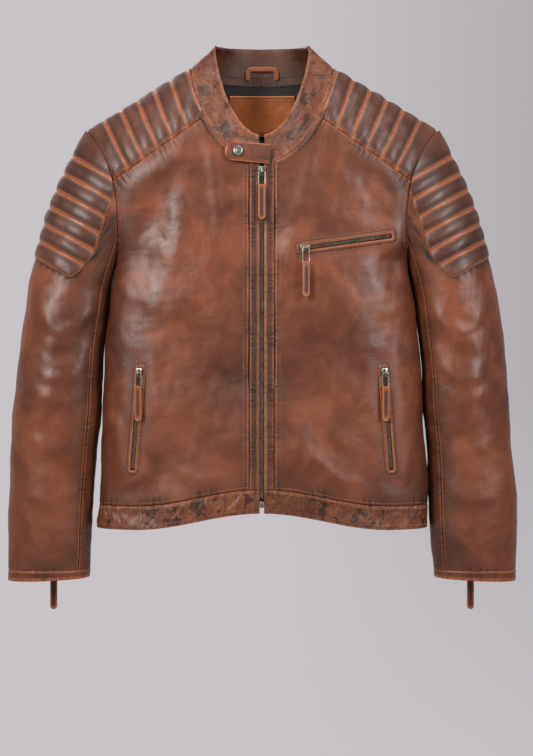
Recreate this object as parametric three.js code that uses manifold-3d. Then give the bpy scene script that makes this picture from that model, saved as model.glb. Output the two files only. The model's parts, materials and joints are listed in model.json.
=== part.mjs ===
// A leather riding jacket as it hangs on a hanger, zipped up.
// Millimetres, +Z up. The front of the jacket faces -Y, and the wearer's left is on +X.
// The origin is where the hanger carries it: on the middle plane, level with the neck points of the
// shoulder seams.
import * as THREE from "three";
import { mergeVertices } from "three/addons/utils/BufferGeometryUtils.js";
import Module from "manifold-3d";

// Driving dimensions of the shell
const NECK_HALF_WIDTH = 103;
const NECK_FRONT_DROP = 147;
const NECK_BACK_DROP = 8;
const SHOULDER_HALF_WIDTH = 254;
const SHOULDER_DROP = 91;
const SHOULDER_ROUNDING = 120; // height over which the shoulder ridge turns down into the front
const BODY_HALF_DEPTH = 76;
const BODY_SQUARENESS = 3.2; // superellipse power of the body section
const UNDERARM_HALF_WIDTH = 209;
const UNDERARM_DROP = 268;
const HEM_HALF_WIDTH = 242;
const HEM_SEAM_DROP = 605; // at the middle of the front
const HEM_SIDE_DROP = 24; // the sides hang lower than the middle of the front and the back
const HEM_BAND_HEIGHT = 33;
const YOKE_NECK_DROP = 80;
const YOKE_ARM_DROP = 170;
const YOKE_BACK_DROP = 140;
const ARMHOLE_HALF_WIDTH = 205;
const LEATHER = 2.2;
const LINING = 1.2;

// Sleeves
const CUFF_DROP = 740;
const CUFF_HALF_DEPTH = 36;
const BICEPS_HALF_DEPTH = 55;
const CUFF_BAND_HEIGHT = 14;
const SLEEVE_GAP = 2.2; // between the body side and the hanging sleeve
const SLEEVE_SEAM_ANGLE = 2.45; // from the outer edge round to the front and back seams

// Collar
const COLLAR_TOP_HALF_WIDTH = 68;
const COLLAR_FRONT_HEIGHT = 40;
const COLLAR_SIDE_HEIGHT = 33;
const COLLAR_BACK_HEIGHT = 39;
const COLLAR_LEATHER = 4;
const TAB_LENGTH = 64;
const TAB_WIDTH = 27;
const SNAP_DIAMETER = 15;

// Zips: the teeth, and what carries and pulls them
const CHAIN_WIDTH = 5.6;
const CHAIN_DEPTH = 2.4;
const WELT_WIDTH = 16;
const WELT_DEPTH = 3.2;
const WELT_END = 6;
const CHEST_ZIP_LENGTH = 130;
const HAND_ZIP_LENGTH = 144;
const CUFF_ZIP_LENGTH = 138;
const SLIDER_WIDTH = 10;
const SLIDER_LENGTH = 14;
const SLIDER_DEPTH = 3.4;
const LUG_REACH = 2.6; // from the slider face out to the pull's axis
const PULL_LENGTH = 21;
const PULL_WIDTH = 11;
const STRAP_LENGTH = 46;
const STRAP_WIDTH = 10;
const PLACKET_WIDTH = 14;

// Clearances
const SEAM_GAP = 0.35;
const LAYER_GAP = 0.4;
const LINING_GAP = 1.2;
const ARMHOLE_GAP = 2.2;
const HEM_GAP = 0.9;
const YOKE_GAP = 0.6;
const BACK_YOKE_GAP = 3;
const SLIDER_GAP = 0.4;

const wasm = await Module();
wasm.setup();

const material = (color, roughness, metalness) =>
  new THREE.MeshStandardMaterial({ color, roughness, metalness });
const LEATHER_BODY = material(0x7a4630, 0.5, 0);
const LEATHER_QUILT = material(0x5c3a32, 0.55, 0);
const LEATHER_TRIM = material(0x8f4a2a, 0.55, 0);
const BLACK_LINING = material(0x232626, 0.8, 0);
const PEWTER = material(0x9a988a, 0.35, 0.9);
const LABEL = material(0xc06a2a, 0.6, 0);

const jacket = new THREE.Group();

function addMesh(name, geometry, finish, parent = jacket) {
  const mesh = new THREE.Mesh(geometry, finish);
  mesh.name = name;
  parent.add(mesh);
  return mesh;
}

// ---- Solids ----

function solidOf(geometry) {
  const bare = geometry.clone();
  bare.deleteAttribute("normal");
  bare.deleteAttribute("uv");
  const merged = mergeVertices(bare, 1e-4);
  return new wasm.Manifold(
    new wasm.Mesh({
      numProp: 3,
      vertProperties: new Float32Array(merged.attributes.position.array),
      triVerts: new Uint32Array(merged.index.array),
    }),
  );
}

function geometryOf(solid) {
  const mesh = solid.getMesh();
  const geometry = new THREE.BufferGeometry();
  geometry.setAttribute("position", new THREE.BufferAttribute(mesh.vertProperties, 3));
  geometry.setIndex(new THREE.BufferAttribute(mesh.triVerts, 1));
  return geometry;
}

const cut = (geometry, tool) => geometryOf(solidOf(geometry).subtract(solidOf(tool)));
const join = (a, b) => geometryOf(solidOf(a).add(solidOf(b)));

// A layer of a surface: surface(u, v) gives a point and a unit normal, and the layer lies between
// two depths under it. u and v run from 0 to 1 in the given numbers of steps.
function layer(surface, uSteps, vSteps, outerDepth, innerDepth) {
  const outer = [];
  const inner = [];
  for (let j = 0; j <= vSteps; j++) {
    for (let i = 0; i <= uSteps; i++) {
      const { point, normal } = surface(i / uSteps, j / vSteps);
      outer.push(point.clone().addScaledVector(normal, -outerDepth));
      inner.push(point.clone().addScaledVector(normal, -innerDepth));
    }
  }
  const positions = [...outer, ...inner].flatMap((p) => [p.x, p.y, p.z]);
  const count = outer.length;
  const at = (i, j) => j * (uSteps + 1) + i;
  const index = [];
  const quad = (a, b, c, d) => index.push(a, b, c, a, c, d);
  for (let j = 0; j < vSteps; j++) {
    for (let i = 0; i < uSteps; i++) {
      const [a, b, c, d] = [at(i, j), at(i, j + 1), at(i + 1, j + 1), at(i + 1, j)];
      quad(a, b, c, d);
      quad(a + count, d + count, c + count, b + count);
    }
  }
  const rim = [];
  for (let i = 0; i < uSteps; i++) rim.push(at(i, 0));
  for (let j = 0; j < vSteps; j++) rim.push(at(uSteps, j));
  for (let i = uSteps; i > 0; i--) rim.push(at(i, vSteps));
  for (let j = vSteps; j > 0; j--) rim.push(at(0, j));
  rim.forEach((a, k) => {
    const b = rim[(k + 1) % rim.length];
    quad(a, b, b + count, a + count);
  });
  const geometry = new THREE.BufferGeometry();
  geometry.setAttribute("position", new THREE.Float32BufferAttribute(positions, 3));
  geometry.setIndex(index);
  return facingOut(geometry);
}

// Turns a closed shape's faces outwards when its volume comes out negative.
function facingOut(geometry) {
  const p = geometry.attributes.position;
  const index = geometry.index.array;
  let volume = 0;
  const corner = [new THREE.Vector3(), new THREE.Vector3(), new THREE.Vector3()];
  for (let k = 0; k < index.length; k += 3) {
    corner.forEach((c, m) => c.fromBufferAttribute(p, index[k + m]));
    volume += corner[0].dot(corner[1].clone().cross(corner[2]));
  }
  if (volume < 0) {
    for (let k = 0; k < index.length; k += 3) {
      [index[k + 1], index[k + 2]] = [index[k + 2], index[k + 1]];
    }
  }
  return geometry;
}

// A box given by its lowest and highest corners
function block(low, high) {
  const size = high.map((h, k) => h - low[k]);
  const geometry = new THREE.BoxGeometry(...size);
  return geometry.translate(...high.map((h, k) => (h + low[k]) / 2));
}

// An outline in X and Z, pushed from depth y0 to y1 along Y
function plate(shape, y0, y1, curveSegments = 6) {
  const geometry = new THREE.ExtrudeGeometry(shape, { depth: y1 - y0, bevelEnabled: false, curveSegments });
  return geometry.rotateX(Math.PI / 2).translate(0, y1, 0);
}

// ---- The body's surface ----

const clamp = (value, low, high) => Math.min(high, Math.max(low, value));
const mix = (a, b, share) => a + (b - a) * share;
const signedPower = (value, power) => Math.sign(value) * Math.abs(value) ** power;

const SHOULDER_SLOPE = SHOULDER_DROP / (SHOULDER_HALF_WIDTH - NECK_HALF_WIDTH);
const shoulderLine = (x) => (NECK_HALF_WIDTH - Math.abs(x)) * SHOULDER_SLOPE;

// Half width of the body section at height z: it widens to the hem, and above the underarm it runs
// on inside the sleeve.
const SIDE_EASE = 180;
const SHOULDER_EASE = 70;
const SHOULDER_FLARE = 58;
function halfWidth(z) {
  const below = -UNDERARM_DROP - z;
  if (below >= 0) {
    const widest = HEM_HALF_WIDTH - UNDERARM_HALF_WIDTH;
    return UNDERARM_HALF_WIDTH + widest * (1 - Math.exp(-below / SIDE_EASE));
  }
  return UNDERARM_HALF_WIDTH + SHOULDER_FLARE * (1 - Math.exp(below / SHOULDER_EASE));
}

// The body's surface at an angle round it (0 front, quarter turn wearer's left side) and a height
function bodyPoint(angle, z) {
  const power = 2 / BODY_SQUARENESS;
  const x = halfWidth(z) * signedPower(Math.sin(angle), power);
  const turn = clamp((shoulderLine(x) - z) / SHOULDER_ROUNDING, 0, 1);
  const rise = Math.sqrt(1 - (1 - turn) ** 2);
  return new THREE.Vector3(x, -BODY_HALF_DEPTH * rise * signedPower(Math.cos(angle), power), z);
}

const STEP = 0.004;
function withNormal(pointAt, a, b, scaleB = 1) {
  const alongA = pointAt(a + STEP, b).sub(pointAt(a - STEP, b));
  const alongB = pointAt(a, b - STEP * scaleB).sub(pointAt(a, b + STEP * scaleB));
  const normal = alongA.cross(alongB).normalize();
  return { point: pointAt(a, b), normal };
}
const bodySurface = (angle, z) => {
  const found = withNormal(bodyPoint, angle, z, 250);
  found.normal.negate();
  return found;
};

// Angle at which the body's surface reaches x at height z, on the front and the wearer's left
const angleAt = (x, z) => Math.asin(clamp(x / halfWidth(z), -1, 1) ** (BODY_SQUARENESS / 2));

// Half width of the armhole line at height z
function armholeX(z) {
  const above = clamp((z + UNDERARM_DROP - 18) / (UNDERARM_DROP - 18 - SHOULDER_DROP), 0, 1);
  const under = clamp((-z - UNDERARM_DROP + 18) / 18, 0, 1);
  return (
    ARMHOLE_HALF_WIDTH +
    (SHOULDER_HALF_WIDTH - ARMHOLE_HALF_WIDTH) * above ** 3 +
    (UNDERARM_HALF_WIDTH - ARMHOLE_HALF_WIDTH) * under ** 2
  );
}
// Side limit of a body panel at height z, as an angle from the middle
function sideAngle(z, gap) {
  if (z <= -UNDERARM_DROP) {
    return Math.PI / 2 - (gap / 2 / BODY_HALF_DEPTH) ** (BODY_SQUARENESS / 2);
  }
  return angleAt(armholeX(z) - ARMHOLE_GAP, z);
}

// Heights of the panels' upper edges over x, and of the hem over the angle
const neckline = (x) => -NECK_FRONT_DROP * (1 - clamp(x / NECK_HALF_WIDTH, 0, 1) ** 2) ** 0.675;
const neckX = (z) =>
  NECK_HALF_WIDTH * Math.sqrt(1 - clamp(-z / NECK_FRONT_DROP, 0, 1) ** (1 / 0.675));
const YOKE_NECK_X = neckX(-YOKE_NECK_DROP);
const YOKE_ARM_X = armholeX(-YOKE_ARM_DROP);
function frontEdge(x) {
  if (x < YOKE_NECK_X) return neckline(x);
  return mix(-YOKE_NECK_DROP, -YOKE_ARM_DROP, (x - YOKE_NECK_X) / (YOKE_ARM_X - YOKE_NECK_X));
}
const YOKE_BACK_X = NECK_HALF_WIDTH * 0.9;
function backEdge(x) {
  if (x < YOKE_BACK_X) return -NECK_BACK_DROP * Math.sqrt(1 - (x / NECK_HALF_WIDTH) ** 2) - LAYER_GAP;
  return mix(-NECK_BACK_DROP / 2, -YOKE_BACK_DROP, (x - YOKE_BACK_X) / (YOKE_ARM_X - YOKE_BACK_X));
}
function hemSeam(angle) {
  const share = Math.abs(Math.sin(angle)) ** (2 / BODY_SQUARENESS);
  return -HEM_SEAM_DROP - HEM_SIDE_DROP * Math.sin((Math.PI / 2) * clamp(share * 1.3, 0, 1)) ** 2;
}

// Angle of a panel's column u at height z: columns close up towards the side, where the surface
// turns. `from` is the distance of column 0 from the middle plane.
function columnAngle(u, z, from) {
  const power = 2 / BODY_SQUARENESS;
  const side = Math.sin(sideAngle(z, SEAM_GAP)) ** power;
  const share = mix(from / halfWidth(z), side, Math.sin((u * Math.PI) / 2));
  return Math.asin(clamp(share, 0, 1) ** (1 / power));
}

// A panel of one side of the front (facing = 1) or back (facing = -1). `from` is its inner edge's
// distance from the middle plane; it runs out to the armhole and the side seam.
function panelSurface(side, facing, from, edge, bottom) {
  return (u, v) => {
    const angleOf = (z) => columnAngle(u, z, from);
    let top = -YOKE_ARM_DROP;
    for (let k = 0; k < 12; k++) {
      const x = halfWidth(top) * Math.sin(angleOf(top)) ** (2 / BODY_SQUARENESS);
      top = mix(top, edge(x) - SEAM_GAP / 2, 0.7);
    }
    const low = bottom(angleOf(-HEM_SEAM_DROP));
    const z = mix(top, low, v ** 1.5);
    const angle = facing > 0 ? angleOf(z) : Math.PI - angleOf(z);
    return bodySurface(side * angle, z);
  };
}

// ---- Body panels, each side ----

const SIDES = [
  { tag: "right", sign: -1 },
  { tag: "left", sign: 1 },
];
const CHAIN_GAP_HALF = CHAIN_WIDTH / 2 + SEAM_GAP;
const FRONT_EDGE_X = CHAIN_GAP_HALF + PLACKET_WIDTH + SEAM_GAP;
const panelBottom = (angle) => hemSeam(angle) + HEM_GAP;

// The same surface with its top and bottom rows drawn in, for the lining under a panel
const shortened = (surface, top, bottom) => (u, v) => surface(u, clamp(v, top, 1 - bottom));

const panels = {};
for (const { tag, sign } of SIDES) {
  const front = panelSurface(sign, 1, FRONT_EDGE_X, frontEdge, panelBottom);
  panels[`front_panel_${tag}`] = layer(front, 12, 14, 0, LEATHER);
  const deep = LEATHER + LINING_GAP;
  panels[`front_lining_${tag}`] = layer(shortened(front, 0.06, 0.01), 12, 14, deep, deep + LINING);
}

// The whole back is one panel, so its surface runs across the middle.
function acrossBack(surfaceOf) {
  return (u, v) => {
    const side = u < 0.5 ? 1 : -1;
    return surfaceOf[side](Math.abs(2 * u - 1), v);
  };
}
const backHalves = (edge, bottom) => ({
  1: panelSurface(1, -1, 0.01, edge, bottom),
  "-1": panelSurface(-1, -1, 0.01, edge, bottom),
});
const back = acrossBack(backHalves(backEdge, panelBottom));
addMesh("back_panel", layer(back, 20, 12, 0, LEATHER), LEATHER_BODY);
const liningDepth = LEATHER + LINING_GAP;
addMesh("back_lining", layer(shortened(back, 0.06, 0.01), 20, 12, liningDepth, liningDepth + LINING), BLACK_LINING);

// ---- Shoulder yokes: over the ridge from the front seam to the back seam ----

function yokeSurface(sign) {
  const point = (u, w) => {
    const reach = Math.abs(w);
    const ridge = [
      mix(NECK_HALF_WIDTH, SHOULDER_HALF_WIDTH - ARMHOLE_GAP, u),
      shoulderLine(mix(NECK_HALF_WIDTH, SHOULDER_HALF_WIDTH - ARMHOLE_GAP, u)),
    ];
    const frontX = mix(YOKE_NECK_X, YOKE_ARM_X - ARMHOLE_GAP, u);
    const seamFront = [frontX, frontEdge(frontX) + YOKE_GAP];
    const backX = mix(YOKE_BACK_X, YOKE_ARM_X + 8, u);
    const seamBack = [backX, backEdge(backX) + BACK_YOKE_GAP];
    const seam = w < 0 ? seamFront : seamBack;
    const share = 1 - Math.cos((reach * Math.PI) / 2);
    let x = mix(ridge[0], seam[0], share);
    const z = mix(ridge[1], seam[1] + SEAM_GAP / 2, share);
    x = Math.min(x, armholeX(z) - ARMHOLE_GAP);
    if (w < 0) x = Math.max(x, neckX(z));
    const turn = clamp((shoulderLine(x) - z) / SHOULDER_ROUNDING, 0, 1);
    const rise = Math.sqrt(1 - (1 - turn) ** 2);
    const section = (1 - (x / halfWidth(z)) ** BODY_SQUARENESS) ** (1 / BODY_SQUARENESS);
    const y = Math.sign(w) * BODY_HALF_DEPTH * rise * section;
    return new THREE.Vector3(sign * x, y, z);
  };
  return (u, v) => {
    const found = withNormal(point, clamp(u, 0.01, 0.99), clamp(2 * v - 1, -0.99, 0.99));
    found.point = point(u, 2 * v - 1);
    if (found.normal.z < 0) found.normal.negate();
    return found;
  };
}
for (const { tag, sign } of SIDES) {
  panels[`shoulder_yoke_${tag}`] = layer(yokeSurface(sign), 8, 12, 0, LEATHER);
}

// ---- Hem band ----

function bandSurface(side, facing, from) {
  return (u, v) => {
    const across = columnAngle(u, -HEM_SEAM_DROP, from);
    const angle = side * (facing > 0 ? across : Math.PI - across);
    const top = hemSeam(angle) - SEAM_GAP / 2;
    return bodySurface(angle, mix(top, top - HEM_BAND_HEIGHT, v));
  };
}
const HEM_LEATHER = 3.4;
for (const { tag, sign } of SIDES) {
  const band = layer(bandSurface(sign, 1, CHAIN_GAP_HALF), 14, 2, 0, HEM_LEATHER);
  addMesh(`hem_band_${tag}`, band, LEATHER_TRIM);
}
const backBand = acrossBack({ 1: bandSurface(1, -1, 0.01), "-1": bandSurface(-1, -1, 0.01) });
addMesh("hem_band_back", layer(backBand, 20, 2, 0, HEM_LEATHER), LEATHER_TRIM);

// ---- Sleeves ----

const curve = (...points) => new THREE.CatmullRomCurve3(points.map(([x, z]) => new THREE.Vector3(x, 0, z)));
const outerEdge = curve(
  [SHOULDER_HALF_WIDTH, -SHOULDER_DROP],
  [291, -158],
  [321, -250],
  [347, -370],
  [363, -520],
  [368, -CUFF_DROP],
);
const besideBody = (z) => halfWidth(z) + SLEEVE_GAP + 8 * clamp((-z - 560) / 175, 0, 1) ** 2;
const innerEdge = curve(
  [UNDERARM_HALF_WIDTH, -UNDERARM_DROP],
  [besideBody(-330), -330],
  [besideBody(-430), -430],
  [besideBody(-560), -560],
  [besideBody(-CUFF_DROP + 5), -CUFF_DROP + 5],
);

function sleevePoint(angle, v) {
  const share = clamp(v, 0, 1);
  const outer = outerEdge.getPointAt(share);
  const inner = innerEdge.getPointAt(share);
  const middle = outer.clone().add(inner).multiplyScalar(0.5);
  const reach = outer.clone().sub(inner).multiplyScalar(0.5);
  const depth = mix(BICEPS_HALF_DEPTH, CUFF_HALF_DEPTH, clamp((share - 0.35) / 0.65, 0, 1) ** 1.4);
  const ring = middle.addScaledVector(reach, Math.cos(angle));
  ring.y = -depth * Math.sin(angle);
  const armZ = mix(-SHOULDER_DROP, -UNDERARM_DROP, (1 - Math.cos(angle)) / 2);
  const armX = armholeX(armZ);
  const turn = clamp((shoulderLine(armX) - armZ) / SHOULDER_ROUNDING, 0, 1);
  const section = (1 - clamp(armX / halfWidth(armZ), 0, 1) ** BODY_SQUARENESS) ** (1 / BODY_SQUARENESS);
  const armY = -Math.sign(Math.sin(angle)) * BODY_HALF_DEPTH * Math.sqrt(1 - (1 - turn) ** 2) * section;
  const armhole = new THREE.Vector3(armX, armY, armZ);
  const fade = 1 - THREE.MathUtils.smoothstep(share, 0, 0.2);
  return ring.lerp(armhole, fade);
}
function sleeveSurface(sign, from, to, top, bottom) {
  return (u, v) => {
    const angle = mix(from, to, u);
    const along = mix(top, bottom, v);
    const found = withNormal(sleevePoint, angle, clamp(along, 0.02, 0.98));
    found.point = sleevePoint(angle, along);
    found.point.x *= sign;
    found.normal.x *= sign;
    const centre = sleevePoint(0, along).add(sleevePoint(Math.PI, along)).multiplyScalar(0.5);
    centre.x *= sign;
    if (found.normal.dot(found.point.clone().sub(centre)) < 0) found.normal.negate();
    return found;
  };
}
const SEAM_ANGLE_GAP = 0.024;
const TOP_SLEEVE_COLUMNS = 14;
const SLEEVE_ROWS = 16;
const PATCH_COLUMNS = 12;
const PATCH_ROWS = 5;
const SLEEVE_TOP = 0.006;
const CUFF_TOP = 1 - CUFF_BAND_HEIGHT / 580;
const CUFF_SLIT_ANGLE = 0.11;
for (const { tag, sign } of SIDES) {
  const seam = SLEEVE_SEAM_ANGLE - SEAM_ANGLE_GAP / 2;
  const top = sleeveSurface(sign, -seam, seam, SLEEVE_TOP, CUFF_TOP - 0.001);
  panels[`top_sleeve_${tag}`] = layer(top, TOP_SLEEVE_COLUMNS, SLEEVE_ROWS, 0, LEATHER);
  const under = seam + SEAM_ANGLE_GAP;
  const below = sleeveSurface(sign, under, 2 * Math.PI - under, SLEEVE_TOP, CUFF_TOP - 0.001);
  panels[`under_sleeve_${tag}`] = layer(below, 6, SLEEVE_ROWS, 0, LEATHER);
  const cuff = sleeveSurface(
    sign,
    -Math.PI / 2 + CUFF_SLIT_ANGLE,
    (3 * Math.PI) / 2 - CUFF_SLIT_ANGLE,
    CUFF_TOP,
    0.999,
  );
  panels[`cuff_band_${tag}`] = layer(cuff, 18, 1, 0, LEATHER * 1.4);
  const middle = 0.5 - PATCH_COLUMNS / TOP_SLEEVE_COLUMNS / 2;
  const patch = (u, v) =>
    top(mix(middle, 1 - middle, u), Math.max(0.02, (v * PATCH_ROWS) / SLEEVE_ROWS));
  const over = -LAYER_GAP - LEATHER;
  panels[`sleeve_patch_${tag}`] = layer(patch, PATCH_COLUMNS, PATCH_ROWS, over, -LAYER_GAP);
}

// ---- Collar ----

// Angle 0 is the middle of the front, half a turn is the middle of the back.
function collarPoint(angle, share) {
  const forward = Math.cos(angle);
  const front = forward > 0;
  const x = NECK_HALF_WIDTH * Math.sin(angle);
  const baseZ = front ? -NECK_FRONT_DROP * forward ** 1.35 : -NECK_BACK_DROP * -forward;
  const turn = clamp((shoulderLine(x) - baseZ) / SHOULDER_ROUNDING, 0, 1);
  const section = (1 - Math.abs(x / halfWidth(baseZ)) ** BODY_SQUARENESS) ** (1 / BODY_SQUARENESS);
  const baseY = -Math.sign(forward) * BODY_HALF_DEPTH * Math.sqrt(1 - (1 - turn) ** 2) * section;
  const base = new THREE.Vector3(x, baseY, baseZ);
  const side = COLLAR_SIDE_HEIGHT;
  const topZ = front
    ? side + (COLLAR_FRONT_HEIGHT - NECK_FRONT_DROP - side) * forward ** 1.35
    : mix(side, COLLAR_BACK_HEIGHT, -forward);
  const top = new THREE.Vector3(
    COLLAR_TOP_HALF_WIDTH * Math.sin(angle),
    -forward * BODY_HALF_DEPTH * (front ? 0.88 : 0.78),
    topZ,
  );
  return base.lerp(top, share);
}
const COLLAR_FOOT = 0.08;
const COLLAR_OPENING = 0.09;
function collarSurface(from, to, low, high) {
  return (u, v) => {
    const angle = mix(from, to, u);
    const share = mix(high, low, v);
    const found = withNormal(collarPoint, angle, share);
    const outward = new THREE.Vector3(Math.sin(angle), -Math.cos(angle), 0);
    if (found.normal.dot(outward) < 0) found.normal.negate();
    return found;
  };
}
const collar = collarSurface(COLLAR_OPENING, 2 * Math.PI - COLLAR_OPENING, COLLAR_FOOT, 1);
addMesh("collar_band", layer(collar, 32, 3, 0, COLLAR_LEATHER), LEATHER_TRIM);

// The tab lies in front of the collar's ends and turns at its root, on the wearer's left.
const TAB_ROOT_X = 12;
const TAB_ROOT_Z = -135;
const TAB_TILT = 0.09;
const STUD_HEIGHT = 1.8;
const TAB_LEATHER = 3.2;
const SNAP_HEIGHT = 3;
const tabBack = -BODY_HALF_DEPTH - LAYER_GAP - STUD_HEIGHT - LAYER_GAP;
const tabShape = new THREE.Shape();
tabShape.moveTo(0, TAB_WIDTH / 2);
tabShape.lineTo(-TAB_LENGTH + TAB_WIDTH / 2, TAB_WIDTH / 2);
tabShape.absarc(-TAB_LENGTH + TAB_WIDTH / 2, 0, TAB_WIDTH / 2, Math.PI / 2, (3 * Math.PI) / 2, false);
tabShape.lineTo(0, -TAB_WIDTH / 2);
const tabGroup = new THREE.Group();
tabGroup.position.set(TAB_ROOT_X, 0, TAB_ROOT_Z);
tabGroup.rotation.y = TAB_TILT;
jacket.add(tabGroup);
addMesh("collar_tab", plate(tabShape, tabBack - TAB_LEATHER, tabBack), LEATHER_TRIM, tabGroup);
const SNAP_X = -TAB_LENGTH + TAB_WIDTH * 0.7;
function disc(radius, y0, y1) {
  return new THREE.CylinderGeometry(radius, radius, y1 - y0, 20).translate(0, (y0 + y1) / 2, 0);
}
const capFront = tabBack - TAB_LEATHER - LAYER_GAP;
const cap = disc(SNAP_DIAMETER / 2, capFront - SNAP_HEIGHT, capFront);
addMesh("snap_cap", cap.translate(SNAP_X, 0, 0), PEWTER, tabGroup);
const studBack = -BODY_HALF_DEPTH - LAYER_GAP;
const stud = disc(SNAP_DIAMETER / 3, studBack - STUD_HEIGHT, studBack);
addMesh("snap_stud", stud.translate(SNAP_X, 0, 0), PEWTER, tabGroup);

// ---- Zips ----

// The place of a zip: an origin at the slider's end of the chain, +Z up the chain past the slider,
// -Y out of the jacket, -Z along the chain away from the slider.
function placeOfZip(sliderEnd, farEnd, outward) {
  const up = sliderEnd.clone().sub(farEnd).normalize();
  const inward = outward.clone().negate();
  inward.addScaledVector(up, -inward.dot(up)).normalize();
  const across = inward.clone().cross(up);
  const turn = new THREE.Matrix4().makeBasis(across, inward, up);
  return turn.setPosition(sliderEnd);
}
function groupAt(matrix) {
  const group = new THREE.Group();
  group.applyMatrix4(matrix);
  jacket.add(group);
  return group;
}

// Two rows of teeth on their tape, as one bar with its end stops
const chainBar = (length) =>
  block([-CHAIN_WIDTH / 2, -CHAIN_DEPTH / 2, -length], [CHAIN_WIDTH / 2, CHAIN_DEPTH / 2, 0]);

// A welt frame round the chain
function weltFrame(length) {
  const outside = new THREE.Shape();
  const half = WELT_WIDTH / 2;
  outside.moveTo(-half, WELT_END);
  outside.lineTo(half, WELT_END);
  outside.lineTo(half, -length - WELT_END);
  outside.lineTo(-half, -length - WELT_END);
  const slot = new THREE.Path();
  slot.moveTo(-CHAIN_GAP_HALF, SEAM_GAP);
  slot.lineTo(-CHAIN_GAP_HALF, -length - SEAM_GAP);
  slot.lineTo(CHAIN_GAP_HALF, -length - SEAM_GAP);
  slot.lineTo(CHAIN_GAP_HALF, SEAM_GAP);
  outside.holes.push(slot);
  return plate(outside, -WELT_DEPTH / 2, WELT_DEPTH / 2);
}

// The slider: a body that narrows away from the chain's closed end, and a lug for the pull
const sliderFace = (frontOfZip) => -frontOfZip - SLIDER_GAP - SLIDER_DEPTH;
function sliderSolid(frontOfZip) {
  const outline = new THREE.Shape();
  const half = SLIDER_WIDTH / 2;
  outline.moveTo(-half * 0.8, 0);
  outline.lineTo(half * 0.8, 0);
  outline.lineTo(half, -SLIDER_LENGTH * 0.3);
  outline.lineTo(half * 0.65, -SLIDER_LENGTH);
  outline.lineTo(-half * 0.65, -SLIDER_LENGTH);
  outline.lineTo(-half, -SLIDER_LENGTH * 0.3);
  const face = sliderFace(frontOfZip);
  const body = plate(outline, face, face + SLIDER_DEPTH);
  const lugZ = -SLIDER_LENGTH / 2;
  const lug = block([-1.2, face - LUG_REACH - 1.2, lugZ - 1.2], [1.2, face + 1, lugZ + 1.2]);
  return join(body, lug);
}

// The pull hangs from the lug: a metal frame, and the leather strap on its end.
const PULL_START = 2;
function pullFrame() {
  const half = PULL_WIDTH / 2;
  const outline = new THREE.Shape();
  outline.moveTo(-half, -PULL_START - 2);
  outline.lineTo(-half + 2, -PULL_START);
  outline.lineTo(half - 2, -PULL_START);
  outline.lineTo(half, -PULL_START - 2);
  outline.lineTo(half, -PULL_LENGTH);
  outline.lineTo(-half, -PULL_LENGTH);
  const window = new THREE.Path();
  window.moveTo(-half + 2, -PULL_START - 2.5);
  window.lineTo(-half + 2, -PULL_LENGTH + 2);
  window.lineTo(half - 2, -PULL_LENGTH + 2);
  window.lineTo(half - 2, -PULL_START - 2.5);
  outline.holes.push(window);
  return plate(outline, -0.9, 0.9);
}
function strapSolid() {
  const half = STRAP_WIDTH / 2;
  const start = -PULL_LENGTH - SEAM_GAP;
  const end = start - STRAP_LENGTH;
  const outline = new THREE.Shape();
  outline.moveTo(-half, start);
  outline.lineTo(half, start);
  outline.lineTo(half, end + 3);
  outline.lineTo(half - 3, end);
  outline.lineTo(-half + 3, end);
  outline.lineTo(-half, end + 3);
  return plate(outline, -1.1, 1.1);
}

// Adds a slider on the zip's place, and a pull that hangs straight down from its lug.
function addSliderAndPull(name, place, frontOfZip, facing) {
  addMesh(`${name}_slider`, sliderSolid(frontOfZip), PEWTER, groupAt(place));
  const pivot = new THREE.Vector3(0, sliderFace(frontOfZip) - LUG_REACH, -SLIDER_LENGTH / 2);
  const hanging = new THREE.Group();
  hanging.position.copy(pivot.applyMatrix4(place));
  hanging.rotation.z = Math.atan2(facing.x, -facing.y);
  jacket.add(hanging);
  addMesh(`${name}_pull`, pullFrame(), PEWTER, hanging);
  addMesh(`${name}_strap`, strapSolid(), LEATHER_TRIM, hanging);
}

// Cuts the slot for a zip out of a panel.
function cutForZip(name, place, width, length, end) {
  const half = width / 2 + SEAM_GAP;
  const tool = block([-half, -14, -length - end - SEAM_GAP], [half, 9, end + SEAM_GAP]).applyMatrix4(place);
  panels[name] = cut(panels[name], tool);
}

// A pocket zip on one front: from the slider's end to the far end, in X and Z on the body
function addPocketZip(name, tag, sign, sliderEnd, direction, length, proud) {
  const far = [sliderEnd[0] + direction[0] * length, sliderEnd[1] + direction[1] * length];
  const onBody = ([x, z]) => bodySurface(sign * angleAt(x, z), z);
  const start = onBody(sliderEnd);
  const end = onBody(far);
  const outward = start.normal.clone().add(end.normal).normalize();
  const place = placeOfZip(
    start.point.addScaledVector(outward, proud),
    end.point.addScaledVector(outward, proud),
    outward,
  );
  const trueLength = start.point.distanceTo(end.point);
  addMesh(`${name}_welt`, weltFrame(trueLength), LEATHER_TRIM, groupAt(place));
  addMesh(`${name}_chain`, chainBar(trueLength), PEWTER, groupAt(place));
  addSliderAndPull(name, place, WELT_DEPTH / 2, outward);
  cutForZip(`front_panel_${tag}`, place, WELT_WIDTH, trueLength, WELT_END);
  cutForZip(`front_lining_${tag}`, place, WELT_WIDTH, trueLength, WELT_END);
}

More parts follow.
